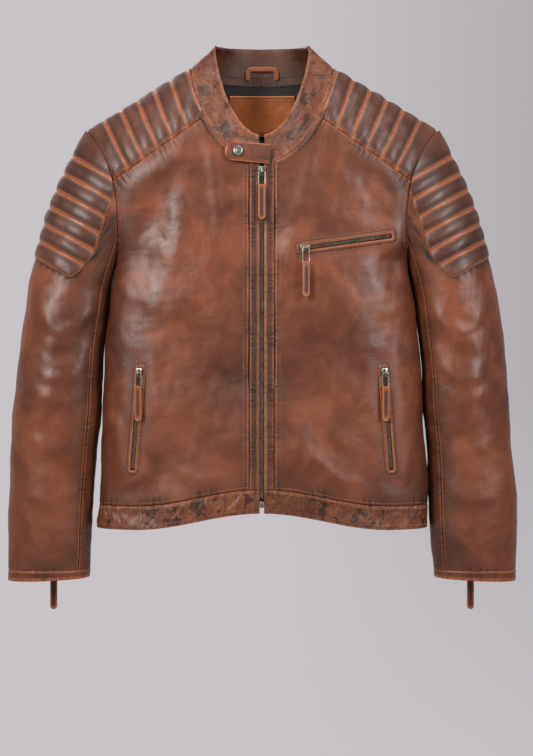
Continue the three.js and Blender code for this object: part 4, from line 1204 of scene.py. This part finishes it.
burn = np.clip(edge + bump(TAB_LENGTH + rings[..., 0], 3.0), 0, 1)
piece = tube("tab", on_tab(rings), {"burn": burn, "dark": 0.25 * (1 - burn)})
sheet(keep(piece, "trim_leather", "collar_tab", ride="collar_tab"), on_tab(rings)[:, :25])
t = np.linspace(-PI / 2, PI / 2, 40)
inset = TAB_WIDTH / 2 - 3.4
arc = np.stack([-(TAB_LENGTH - TAB_WIDTH / 2) - inset * np.cos(t), 0 * t, inset * np.sin(t)], -1)
line = np.vstack([[[-1, 0, -inset]], arc, [[-1, 0, inset]]])
line[:, 1] = TAB_BACK - TAB_LEATHER + 0.35
stitch("tab", on_tab(line), np.tile([0, -1.0, 0], (len(line), 1)) @ tab_axes, pitch=3.0, lift=0.25)


def lathe(profile, count=28):
    """Rings of (radius, y) round the Y axis."""
    t = np.linspace(0, 2 * PI, count, endpoint=False)
    return np.array([np.stack([r * np.cos(t), y + 0 * t, r * np.sin(t)], -1) for r, y in profile])


SNAP_X = -TAB_LENGTH + TAB_WIDTH * 0.7
cap_back = TAB_BACK - TAB_LEATHER - 0.4
cap_rim = [(7.0, 0.2), (7.5, -0.6), (7.3, -1.5), (6.6, -2.3), (5.6, -2.7)]
cap_profile = cap_rim + [(4.9, -2.5), (4.5, -2.2), (3.4, -2.5), (1.6, -2.8), (0.4, -2.85)]
cap = lathe([(r, cap_back + y) for r, y in cap_profile]) + [SNAP_X, 0, 0]
keep(tube("snap_cap_piece", on_tab(cap)), "pewter", "snap_cap", ride="collar_tab")
stud_profile = [(5.0, -76.5), (5.0, -77.1), (3.4, -77.3), (3.1, -78.0), (2.2, -78.2)]
stud = lathe(stud_profile, 20) + [SNAP_X, 0, 0]
keep(tube("snap_stud_piece", on_tab(stud)), "pewter", "snap_stud")

# ---- Zip hardware ----


def slot_path(half, top, bottom, step=2.0, arc=7):
    """Corner points and outward directions round a slot, closed, in across and up."""
    corners = [(half, top), (half, bottom), (-half, bottom), (-half, top)]
    starts = [PI / 2, 0, -PI / 2, -PI]
    points, ways = [], []
    for k, (corner, start) in enumerate(zip(corners, starts)):
        t = np.linspace(start, start - PI / 2, arc)
        points += [corner] * arc
        ways += list(np.stack([np.cos(t), np.sin(t)], -1))
        after = np.array(corners[(k + 1) % 4])
        count = max(int(np.linalg.norm(after - corner) / step), 2)
        for s in np.arange(1, count) / count:
            points.append(mix(np.array(corner), after, s))
            ways.append(ways[-1])
    points.append(points[0])
    ways.append(ways[0])
    return np.array(points, float), np.array(ways, float)


# The section of a welt's rolled lip: how far out from the slot, and how deep.
LIP_ROLL = [(0, 1.4), (0, 0), (0.15, -0.8), (0.6, -1.4), (1.3, -1.75), (2.3, -1.7)]
LIP = LIP_ROLL + [(3.3, -1.5), (4.2, -1.25), (4.8, -0.9), (5.15, -0.3), (5.3, 0.5), (5.3, 1.2)]


def rod(path, radius, count=10, closed=False, squash=1.0):
    """Rings of a round bar along a path of points."""
    way = np.gradient(path, axis=0)
    if closed:
        way = np.roll(path, -1, 0) - np.roll(path, 1, 0)
    way = unit(way)
    spare = np.cross(way, [1.0, 0, 0])
    poor = np.linalg.norm(spare, axis=1) < 0.3
    spare[poor] = np.cross(way, [0, 1.0, 0])[poor]
    side = unit(spare)
    up = np.cross(way, side)
    t = np.linspace(0, 2 * PI, count, endpoint=False)
    ring = np.cos(t)[None, :, None] * side[:, None] + squash * np.sin(t)[None, :, None] * up[:, None]
    return path[:, None] + radius * ring


def slider_parts(front):
    """The slider's body with its two jaws, and the bridge that the pull hangs from."""
    face = -front - 0.4 - 3.4
    z = np.array([0.2, 0, -1.2, -3, -4.5, -6.5, -9, -11, -12.8, -13.8, -14])
    half = np.array([3.0, 3.9, 4.4, 4.9, 5.0, 4.5, 3.6, 3.2, 3.1, 2.8, 2.2])
    thick = np.array([0.9, 1.4, 1.65, 1.7, 1.7, 1.7, 1.7, 1.7, 1.65, 1.4, 1.0])
    rings = []
    for k in range(len(z)):
        ring = rounded_ring(half[k], thick[k], min(0.8, thick[k] * 0.8), 24)
        rings.append(np.stack([ring[:, 0], face + 1.7 + ring[:, 1], np.full(24, z[k])], -1))
    body_part = tube("", np.array(rings), save=False)
    t = np.linspace(0, PI, 16)
    arch = np.stack([0 * t, face + 0.6 - 4.6 * np.sin(t) ** 0.7, -7 + 5.2 * np.cos(t)], -1)
    return together([body_part, tube("", rod(arch, 0.85, squash=1.5), save=False)])


def pull_parts():
    """A flat wire frame that hangs from the bridge."""
    t = np.linspace(0, 2 * PI, 48, endpoint=False)
    cx, cz = np.sign(np.cos(t)) * 2.6, np.sign(np.sin(t)) * 8.4
    path = np.stack([cx + 2.0 * np.cos(t), 0 * t, -10.4 + cz + 2.0 * np.sin(t)], -1)
    return tube("", rod(path, 0.85, closed=True), closed=True, save=False)


def strap_rings():
    """A folded leather strap: a loop over the frame's lower bar, a stitched body and a rounded end."""
    rounded = -62.5 - 4.85 * np.sin(np.linspace(0.15, PI / 2 - 0.06, 9))
    zs = np.r_[-18.6, -18.9, np.linspace(-19.5, -62.5, 34), rounded]
    rings = []
    for z in zs:
        past = max(-z - 62.5, 0)
        half = np.sqrt(max(25 - past**2, 0.3)) if past else 5.0
        near_top = 1 - smooth(-z, 18.4, 21.5)
        thick = 1.1 + 0.7 * near_top * (0.3 if z > -18.8 else 1)
        t = np.linspace(-1, 1, 15)
        x = half * np.sin(t * PI / 2)
        groove = 0.4 * bump(x, 1.6) * smooth(-z, 24, 28) * (1 - smooth(-z, 58, 62))
        lip = 0.45 * bump(np.abs(x) - half + 1.0, 0.9) - groove
        front = np.stack([x, -thick - lip, z + 0 * x], -1)
        back = np.stack([x, thick + 0.3 * lip, z + 0 * x], -1)[::-1]
        rings.append(np.vstack([front, back]))
    return np.array(rings)


STRAP = strap_rings()
STRAP_X, STRAP_Z = STRAP[..., 0], STRAP[..., 2]
STRAP_EDGE = bump(5.0 - np.abs(STRAP_X), 1.7) + bump(STRAP_Z + 67.3, 3.5) + bump(STRAP_Z + 19, 3)
STRAP_CORE = bump(STRAP_X, 1.9) * smooth(-STRAP_Z, 24, 28) * (1 - smooth(-STRAP_Z, 59, 63))


def add_hardware(place):
    """The slider, the pull and its strap of one zip."""
    name = place.name
    p, q, t = slider_parts(place.front)
    slider = write_mesh(name + "_slider_piece", place.put(p), [q, t])
    keep(slider, "pewter", name + "_slider", ride=name + "_slider")
    p, q, t = pull_parts()
    pull = write_mesh(name + "_pull_piece", place.hanging(p), [q, t])
    keep(pull, "pewter", name + "_pull", ride=name + "_pull")
    burn, dark = clamp(STRAP_EDGE), clamp(STRAP_CORE)
    strap = tube(name + "_strap_piece", place.hanging(STRAP), {"burn": burn, "dark": dark})
    keep(strap, "strap_leather", name + "_strap", ride=name + "_pull")
    sheet(strap, place.hanging(STRAP)[:, :15])
    xs = np.r_[np.full(30, 3.3), np.linspace(3.3, -3.3, 6)[1:-1], np.full(30, -3.3)]
    zs = np.r_[np.linspace(-24, -62.5, 30), np.full(4, -64.6), np.linspace(-62.5, -24, 30)]
    line = place.hanging(np.stack([xs, np.full(len(xs), -1.25), zs], -1))
    stitch(name + "_pull", line, np.tile(-place.hang[1], (len(line), 1)), pitch=2.6, radius=0.3, lift=0.05)


def add_chain(name, place_points, way, length, node, half_rows=(1, -1), sleeve_of=None, tape=5.2):
    """Two rows of teeth on their tape; place_points turns (across, inward, up) into the row frame."""
    parts = []
    for row in half_rows:
        zs = -1.2 - np.arange(int((length - 2.4) / 2.2)) * 2.2 - (1.1 if row > 0 else 0)
        where = np.stack([np.full(len(zs), row * 1.15), np.full(len(zs), -0.35), zs], -1)
        p, t = many(brick((2.7, 1.5, 1.15)), place_points(where), np.tile(way, (len(zs), 1, 1)))
        parts.append((p, t))
    keep(triangles(name + "_teeth", parts), "zip_teeth", node, sleeve_of=sleeve_of)
    low, high = min(half_rows) > 0, max(half_rows) < 0
    xs = np.linspace(0 if low else -tape, 0 if high else tape, 5)
    zs = np.linspace(0.2, -length - 0.2, 60)
    local = vec(xs[None, :], 1.0, zs[:, None])
    cloth = panel(name + "_tape", place_points(local), -np.tile(way[1], (60, 5, 1)), rim=0.7)
    sheet(keep(cloth, "black_lining", sleeve_of=sleeve_of), place_points(local))


for name, place in POCKETS.items():
    path, ways = slot_path(SLOT_HALF, 0.35, -place.length - 0.35)
    lip = np.array(LIP)
    along = np.r_[0, np.cumsum(np.linalg.norm(np.diff(path + ways * 3, axis=0), axis=1))]
    d, y = lip[None, :, 0], lip[None, :, 1]
    where = path[:, None] + ways[:, None] * d[..., None]
    phase = np.sin(along * 1.25 + 1.7 * np.sin(along * 0.17))[:, None]
    pucker = 0.3 * phase * bump(d - 4.6, 1.6) + 0.18 * phase * bump(d - 1.4, 1.2)
    local = vec(where[..., 0], y + pucker, where[..., 1])
    burn = clamp(1.0 * bump(d - 0.8, 1.1) + 0.55 * bump(d - 5.1, 1.0) + 0.25 * phase) + 0 * local[..., 0]
    # Painted shade in a line along the stitching and where the lip turns down into the slot and the body.
    dark = clamp(0.8 * bump(d - 3.4, 0.8) + 0.9 * smooth(y, 0.2, 1.0)) + 0 * local[..., 0]
    at = place.put(local)
    flat = at.reshape(-1, 3)
    outward = np.tile(-place.inward, (len(flat), 1)) + (ways @ place.axes[[0, 2]]).repeat(len(LIP), 0) * 0.2
    faces = facing(flat, grid_faces(*at.shape[:2]), outward)
    piece = write_mesh(name + "_welt_piece", flat, [faces], {"burn": burn, "dark": dark})
    sheet(keep(piece, "trim_leather", name + "_welt"), at)
    line = place.put(vec((path + ways * 3.5)[:, 0], -1.35, (path + ways * 3.5)[:, 1]))
    stitch(name + "_welt", line, np.tile(-place.inward, (len(line), 1)), pitch=3.0, radius=0.36)
    line = place.put(vec((path + ways * 7.4)[:, 0], 0.3, (path + ways * 7.4)[:, 1]))
    stitch(name + "_welt", line, np.tile(-place.inward, (len(line), 1)), pitch=3.4, radius=0.36)
    add_chain(name, place.put, place.axes, place.length, name + "_chain")
    add_hardware(place)

for tag, sign in SIDES:
    place = CUFF_ZIPS[tag]
    add_chain(place.name, place.put, place.axes, 138, place.name + "_chain", sleeve_of=tag, tape=4.6)
    add_hardware(place)

# ---- Main zip, with its plackets ----

MAIN_TOP, MAIN_BOTTOM = -150, -630
for tag, sign in SIDES:
    length = MAIN_TOP - MAIN_BOTTOM - 9.35

    def main_put(local):
        return np.asarray(local, float) + [0, -HALF_DEPTH + 1.6, MAIN_TOP]

    chain_node = f"main_zip_chain_{tag}"
    add_chain(f"main_zip_{tag}", main_put, np.eye(3), length, chain_node, half_rows=(sign,), tape=7.0)
    x = np.linspace(3.15, 17.3, 30)[None, :]
    z = np.linspace(-141, -604.7, 330)[:, None]
    x, z = np.broadcast_arrays(x, z)
    at = vec(sign * x, -HALF_DEPTH + 0 * x, z)
    relief = Relief(x.shape)
    relief.seam(x - 3.15, z, puckers=0.25, pitch=6, reach=4, roll=1.2, burn=0.9 if sign > 0 else 0.55)
    relief.seam(17.5 - x, z + 20, puckers=0.85, pitch=6.5, reach=7, roll=1.3, burn=0.5)
    relief.height += 0.25 * ripple(at, 91, 24)
    # Painted shade over the placket away from the teeth, stronger on the wearer's right.
    relief.dark += (0.45 if sign > 0 else 0.6) * smooth(x, 5, 9)
    out = np.tile([0, -1.0, 0], x.shape + (1,))
    at = at + out * relief.height[..., None]
    piece = panel(f"placket_piece_{tag}", at, out, {"burn": relief.burn, "dark": relief.dark}, rim=2.4)
    sheet(keep(piece, "trim_leather", f"placket_{tag}"), vec(sign * x, -HALF_DEPTH, z))
    for column in (8, 26):
        stitch("main_zip", at[:, column], out[:, column])
box_rings = [
    np.stack([r[:, 0], -HALF_DEPTH + 1.6 + r[:, 1], np.full(24, z)], -1)
    for z, s in ((-630, 0.8), (-629.5, 1), (-621.5, 1), (-621, 0.8))
    for r in [rounded_ring(2.8 * s, 1.8 * s, 0.7, 24)]
]
keep(tube("zip_box", np.array(box_rings)), "pewter", "main_zip_box")
add_hardware(MAIN_ZIP)

# ---- Pocket bags, label and hang loop ----


def inside_panel(name, node, sign, x_from, x_to, z_top, z_bottom, depth, wave):
    """A pocket bag inside a front, at a depth under its surface."""
    t = np.linspace(0, 1, 40)[None, :]
    z = np.linspace(z_top, z_bottom, 50)[:, None]
    t, z = np.broadcast_arrays(t, z)
    x = mix(x_from, x_to, t)
    angle = angle_at(x, z)
    at, out = body_frame(sign * angle, z)
    height = wave * ripple(at, 95, 40)
    piece = panel(name, at - out * (depth + height)[..., None], -out, rim=1.0)
    sheet(keep(piece, "black_lining", node), at)


for tag, sign in SIDES:
    inside_panel(f"hand_bag_{tag}", f"hand_pocket_{tag}", sign, 60, 157, -424, -592, 9.0, 0.5)
inside_panel("chest_bag", "chest_pocket", 1, 53, 178, -285, -400, 8.0, 0.5)

t, z = np.broadcast_arrays(np.linspace(0, 1, 60)[None, :], np.linspace(0, 1, 40)[:, None])
x, z = mix(-50.0, 50.0, t), mix(-26.0, -88.0, z)
at, out = body_frame(PI - angle_at(x, z), z)
edge = np.minimum(50 - np.abs(x), 31 - np.abs(z + 57))
height = 0.5 * smooth(edge, 0, 1.5) - 0.4 * bump(edge - 3.2, 0.9) + 0.12 * ripple(at, 97, 14)
label_at = at - out * (7.0 + height)[..., None]
burn = 0.5 * bump(edge, 1.5)
# Painted shade in the groove round the label's edge.
dark = 0.9 * bump(edge - 3.2, 1.2)
piece = panel("label", label_at, -out, {"burn": burn, "dark": dark}, rim=0.8)
sheet(keep(piece, "label_leather", "label_patch"), at)
for row in (4, 35):
    stitch("inside", label_at[row, 4:-4], -out[row, 4:-4], pitch=3.0)
for column in (4, 55):
    stitch("inside", label_at[4:-4, column], -out[4:-4, column], pitch=3.0)

foot = collar(np.array(PI), np.array(0.06))
lean = collar(np.array(PI), np.array(1.0)) - collar(np.array(PI), np.array(0.0))
tip = np.arctan2(-lean[1], lean[2])
loop_axes = np.array([[1, 0, 0], [0, np.cos(tip), np.sin(tip)], [0, -np.sin(tip), np.cos(tip)]])
half_line = np.array([(21.5, 0), (21.5, 8), (21.2, 12.5), (18.5, 15.6), (14, 16.5)])
line = np.vstack([half_line * [-1, 1], half_line[::-1]])
steps = np.r_[0, np.cumsum(np.linalg.norm(np.diff(line, axis=0), axis=1))]
s = np.linspace(0, steps[-1], 70)
path = np.stack([np.interp(s, steps, line[:, 0]), np.interp(s, steps, line[:, 1])], -1)
way = unit(np.gradient(path, axis=0))
across = np.stack([-way[:, 1], way[:, 0]], -1)
ring = rounded_ring(3.4, 1.1, 0.9, 20)
rings = np.stack(
    [
        path[:, None, 0] + ring[None, :, 0] * across[:, None, 0],
        -1.0 + ring[None, :, 1] + 0 * path[:, None, 0],
        path[:, None, 1] + ring[None, :, 0] * across[:, None, 1],
    ],
    -1,
)
at = rings @ loop_axes + [0, foot[1] - 9.7, foot[2]]
edge = bump(3.4 - np.abs(ring[:, 0]), 1.0)[None, :] + 0 * rings[..., 0]
piece = tube("hanging_loop", at, {"burn": edge, "dark": 0.2 * edge})
sheet(keep(piece, "strap_leather", "hang_loop"), at[:, :10])

# ---- Threads ----

for group, parts in threads.items():
    piece = triangles("thread_" + group, parts)
    made[piece.name] = piece
    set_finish(piece, "trim_leather")
    if group.startswith("sleeve_"):
        tag = group.split("_")[1]
        keep(piece, "trim_leather", sleeve_of=tag)
    elif group == "tab":
        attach(piece, "collar_tab")
    elif group.endswith("_pull"):
        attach(piece, group)
    else:
        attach(piece, "shell")

# ---- Materials ----


def linear(red, green, blue):
    """A display colour of 0 to 255 as linear light."""
    c = np.array([red, green, blue]) / 255
    return tuple(np.where(c <= 0.04045, c / 12.92, ((c + 0.055) / 1.055) ** 2.4)) + (1.0,)


class Shade:
    """A shader value that takes Python arithmetic; every operation adds one Math node."""

    def __init__(self, tree, socket):
        self.tree, self.socket = tree, socket

    def math(self, operation, *values, clamped=False):
        node = self.tree.nodes.new("ShaderNodeMath")
        node.operation, node.use_clamp = operation, clamped
        for port, value in zip(node.inputs, values):
            wire(self.tree, port, value)
        return Shade(self.tree, node.outputs[0])

    def __add__(self, other):
        return self.math("ADD", self, other)

    def __radd__(self, other):
        return self.math("ADD", other, self)

    def __sub__(self, other):
        return self.math("SUBTRACT", self, other)

    def __rsub__(self, other):
        return self.math("SUBTRACT", other, self)

    def __mul__(self, other):
        return self.math("MULTIPLY", self, other)

    def __rmul__(self, other):
        return self.math("MULTIPLY", other, self)

    def __truediv__(self, other):
        return self.math("DIVIDE", self, other)

    def __pow__(self, other):
        return self.math("POWER", self, other)

    def limit(self):
        return self.math("ADD", self, 0.0, clamped=True)

    def between(self, low, high):
        """0 at low and 1 at high, clamped."""
        return self.math("MULTIPLY", self - low, 1 / (high - low), clamped=True)


def wire(tree, port, value):
    if isinstance(value, Shade):
        tree.links.new(value.socket, port)
    else:
        port.default_value = value


class Paint:
    """A new material, with helpers that add and wire nodes."""

    def __init__(self, name, **constants):
        self.material = bpy.data.materials.new(name)
        self.material.use_nodes = True
        self.tree = self.material.node_tree
        self.surface = self.tree.nodes["Principled BSDF"]
        self.place = self.node("ShaderNodeTexCoord", "Object")
        for key, value in constants.items():
            self.surface.inputs[key.replace("_", " ")].default_value = value

    def node(self, kind, output, inputs=None, **settings):
        node = self.tree.nodes.new(kind)
        for key, value in settings.items():
            setattr(node, key, value)
        for key, value in (inputs or {}).items():
            wire(self.tree, node.inputs[key], value)
        return Shade(self.tree, node.outputs[output])

    def attribute(self, name):
        return self.node("ShaderNodeAttribute", "Fac", attribute_name=name)

    def noise(self, scale, detail=3.0, rough=0.55, where=None, twist=0.0):
        inputs = {"Vector": where or self.place, "Scale": scale, "Detail": detail}
        inputs.update({"Roughness": rough, "Distortion": twist})
        return self.node("ShaderNodeTexNoise", 0, inputs)

    def cells(self, scale, where=None, feature="F1"):
        inputs = {"Vector": where or self.place, "Scale": scale}
        return self.node("ShaderNodeTexVoronoi", "Distance", inputs, feature=feature)

    def blend(self, a, b, share, mode="MIX"):
        node = self.tree.nodes.new("ShaderNodeMix")
        node.data_type, node.blend_type = "RGBA", mode
        wire(self.tree, node.inputs[0], share)
        wire(self.tree, node.inputs[6], a)
        wire(self.tree, node.inputs[7], b)
        return Shade(self.tree, node.outputs[2])

    def finish(self, color=None, rough=None, bumps=()):
        if color is not None:
            wire(self.tree, self.surface.inputs["Base Color"], color)
        if rough is not None:
            wire(self.tree, self.surface.inputs["Roughness"], rough)
        normal = None
        for height, strength, distance in bumps:
            inputs = {"Height": height, "Strength": strength, "Distance": distance}
            if normal is not None:
                inputs["Normal"] = normal
            normal = self.node("ShaderNodeBump", "Normal", inputs)
        if normal is not None:
            wire(self.tree, self.surface.inputs["Normal"], normal)
        return self.material


def leather(name, deep, middle, light, orange, mottle=0.0, rough=0.4, coat=0.12):
    """Waxed leather: cloudy browns, worn light on edges, painted shade in the gathers, seams and hollows,
    with a fine grain.
    """
    paint = Paint(name, Coat_Weight=coat, Coat_Roughness=0.34, Specular_IOR_Level=0.36)
    cloud = paint.noise(5.5, 4.0, 0.55, twist=0.4)
    patch = paint.noise(17.0, 4.0, 0.6, twist=0.8)
    fleck = paint.noise(70.0, 5.0, 0.65)
    color = paint.blend(linear(*deep), linear(*middle), (cloud * 0.6 + patch * 0.4).between(0.34, 0.56))
    color = paint.blend(color, linear(*light), (cloud * 0.35 + patch * 0.65).between(0.5, 0.76) * 0.5)
    color = paint.blend(color, linear(*deep), fleck.between(0.56, 0.74) * 0.35)
    burn, dark = paint.attribute("burn"), paint.attribute("dark")
    if mottle:
        vein = paint.noise(58.0, 3.0, 0.55, twist=1.2)
        worn = ((vein - 0.5).math("ABSOLUTE", vein - 0.5)).between(0.075, 0.0)
        color = paint.blend(color, linear(*deep), vein.between(0.52, 0.34) * mottle)
        veins = worn * mottle * 0.3 + vein.between(0.55, 0.75) * mottle * 0.35
        color = paint.blend(color, linear(*orange), veins)
    uneven = paint.noise(120.0, 3.0, 0.6)
    # Painted shade, and a darker tone on some trims: the colour goes towards a darker brown where that
    # attribute is high.
    color = paint.blend(color, linear(*[0.42 * v for v in deep]), (dark * (uneven * 0.5 + 0.55)).limit())
    color = paint.blend(color, linear(*orange), (burn * (uneven * 1.1 + 0.25)).limit() * 0.85)
    grain = paint.cells(620.0)
    pores = paint.noise(1500.0, 2.0, 0.6)
    crease = paint.noise(42.0, 5.0, 0.62, twist=1.2)
    shine = rough + (patch - 0.5) * 0.3 + (fleck - 0.5) * 0.25 + dark.limit() * 0.2
    bumps = ((crease, 0.3, 0.002), (fleck, 0.22, 0.0012), (grain * 0.7 + pores * 0.3, 0.2, 0.0004))
    return paint.finish(color, shine, bumps)


def metal(name, tone, rough):
    paint = Paint(name, Metallic=1.0)
    wear = paint.noise(220.0, 3.0)
    color = paint.blend(linear(*tone), linear(*[0.55 * v for v in tone]), wear.between(0.45, 0.75))
    return paint.finish(color, rough + (wear - 0.5) * 0.25, ((paint.noise(900.0), 0.08, 0.0002),))


def fabric(name, tone, rough, scale, sheen=0.1):
    """A plain weave: crossed threads in the fabric's own plane, from the row frame's axes."""
    paint = Paint(name, Sheen_Weight=sheen, Specular_IOR_Level=0.35)
    split = paint.tree.nodes.new("ShaderNodeSeparateXYZ")
    paint.tree.links.new(paint.place.socket, split.inputs[0])
    x, z = Shade(paint.tree, split.outputs[0]), Shade(paint.tree, split.outputs[2])
    waves = (x * scale).math("SINE", x * scale) * (z * scale).math("SINE", z * scale)
    cloud = paint.noise(14.0, 4.0)
    color = paint.blend(linear(*tone), linear(*[0.6 * v for v in tone]), cloud.between(0.4, 0.7))
    return paint.finish(color, rough + (cloud - 0.5) * 0.2, ((waves, 0.2, 0.0003), (cloud, 0.3, 0.002)))


def thread(name, tone):
    paint = Paint(name, Sheen_Weight=0.2)
    cloud = paint.noise(30.0, 3.0)
    color = paint.blend(linear(*tone), linear(*[0.55 * v for v in tone]), cloud.between(0.4, 0.65))
    return paint.finish(color, 0.62 + (cloud - 0.5) * 0.1)


ORANGE = (168, 92, 50)
# Four tones of each leather: deep, middle, light and worn orange.
BODY_TONES = ((72, 36, 21), (116, 60, 35), (150, 84, 52), ORANGE)
QUILT_TONES = ((58, 31, 22), (92, 52, 37), (122, 72, 52), (170, 96, 56))
BAND_TONES = ((46, 23, 16), (98, 50, 28), (134, 74, 42), (168, 94, 52))
TRIM_TONES = ((58, 31, 22), (104, 54, 33), (138, 76, 46), (176, 98, 54))
STRAP_TONES = ((64, 32, 21), (104, 54, 32), (134, 74, 44), (184, 104, 58))
LABEL_TONES = ((140, 70, 30), (184, 98, 40), (200, 112, 52), (214, 130, 64))
FINISHES = {
    "body_leather": leather("body leather", *BODY_TONES),
    "quilted_leather": leather("quilted leather", *QUILT_TONES, rough=0.38),
    "band_leather": leather("band leather", *BAND_TONES, mottle=0.85, rough=0.43),
    "trim_leather": leather("trim leather", *TRIM_TONES, mottle=0.35),
    "strap_leather": leather("strap leather", *STRAP_TONES),
    "label_leather": leather("label leather", *LABEL_TONES, coat=0.05),
    "black_lining": fabric("lining fabric", (30, 32, 34), 0.62, 2600.0),
    "pewter": metal("pewter", (150, 146, 134), 0.34),
    "zip_teeth": metal("zip teeth", (118, 108, 92), 0.42),
}
THREAD = thread("waxed thread", (176, 102, 58))
for obj in made.values():
    obj.data.materials.clear()
    obj.data.materials.append(THREAD if obj.name.startswith("thread_") else FINISHES[obj["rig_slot"]])

# ---- Stage, light and camera ----

scene = bpy.context.scene
world = bpy.data.worlds.new("studio")
world.use_nodes = True
scene.world = world
tree = world.node_tree
way = tree.nodes.new("ShaderNodeTexCoord")
split = tree.nodes.new("ShaderNodeSeparateXYZ")
tree.links.new(way.outputs["Generated"], split.inputs[0])
x, y, z = (Shade(tree, split.outputs[k]) for k in range(3))
backdrop = 0.57 - x.between(0.0, 0.3) * z.between(-0.3, 0.0) * 0.22
room = tree.nodes.new("ShaderNodeMix")
room.data_type = "RGBA"
wire(tree, room.inputs[0], y.between(-0.1, 0.5))
wire(tree, room.inputs[6], linear(138, 137, 141))
tone = tree.nodes.new("ShaderNodeCombineColor")
for port, share in zip(tone.inputs, (1.0, 0.955, 0.99)):
    wire(tree, port, backdrop * share)
tree.links.new(tone.outputs[0], room.inputs[7])
tree.links.new(room.outputs[2], tree.nodes["Background"].inputs[0])

ring = np.linspace(0, 2 * PI, 96, endpoint=False)
disc = np.vstack([[0, 0, -1300], np.stack([1100 * np.cos(ring), 1100 * np.sin(ring), 0 * ring - 1300], -1)])
k = np.arange(96)
floor = write_mesh("floor", disc, [np.stack([0 * k, k + 1, (k + 1) % 96 + 1], -1)])
paint = Paint("floor finish")
cloud = paint.noise(2.0)
tone = paint.blend(linear(204, 200, 205), linear(196, 192, 198), cloud)
floor.data.materials.append(paint.finish(tone, 0.9 + (cloud - 0.5) * 0.05))
floor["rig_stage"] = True


def lamp(name, place, target, size, power, tone):
    data = bpy.data.lights.new(name, "AREA")
    data.shape, data.size, data.size_y = "RECTANGLE", size[0], size[1]
    data.energy = power
    data.color = tone
    lit = bpy.data.objects.new(name, data)
    scene.collection.objects.link(lit)
    lit.location = place
    aim = Vector(target) - Vector(place)
    lit.rotation_euler = aim.to_track_quat("-Z", "Y").to_euler()
    return lit


lamp("key", (-1.3, -1.8, 0.45), (-0.05, 0, -0.35), (0.6, 1.1), 44, (1.0, 0.985, 0.965))
lamp("fill", (1.4, -1.6, 0.35), (0.1, 0, -0.35), (0.45, 1.3), 30, (0.98, 0.985, 1.0))
lamp("top", (0.1, -0.7, 1.3), (0, 0, -0.15), (1.4, 0.5), 14, (1, 1, 1))
lamp("rear", (-0.9, 2.2, 0.9), (0, 0, -0.5), (1.2, 1.2), 9, (1, 0.99, 0.98))

camera = bpy.data.objects.new("camera", bpy.data.cameras.new("camera"))
scene.collection.objects.link(camera)
camera.location = (0.0065, -2.2, -0.448)
camera.rotation_euler = (PI / 2, 0, 0)
camera.data.lens = 72.25
camera.data.clip_start, camera.data.clip_end = 0.05, 30
scene.camera = camera
scene.view_settings.view_transform = "Standard"

low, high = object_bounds()
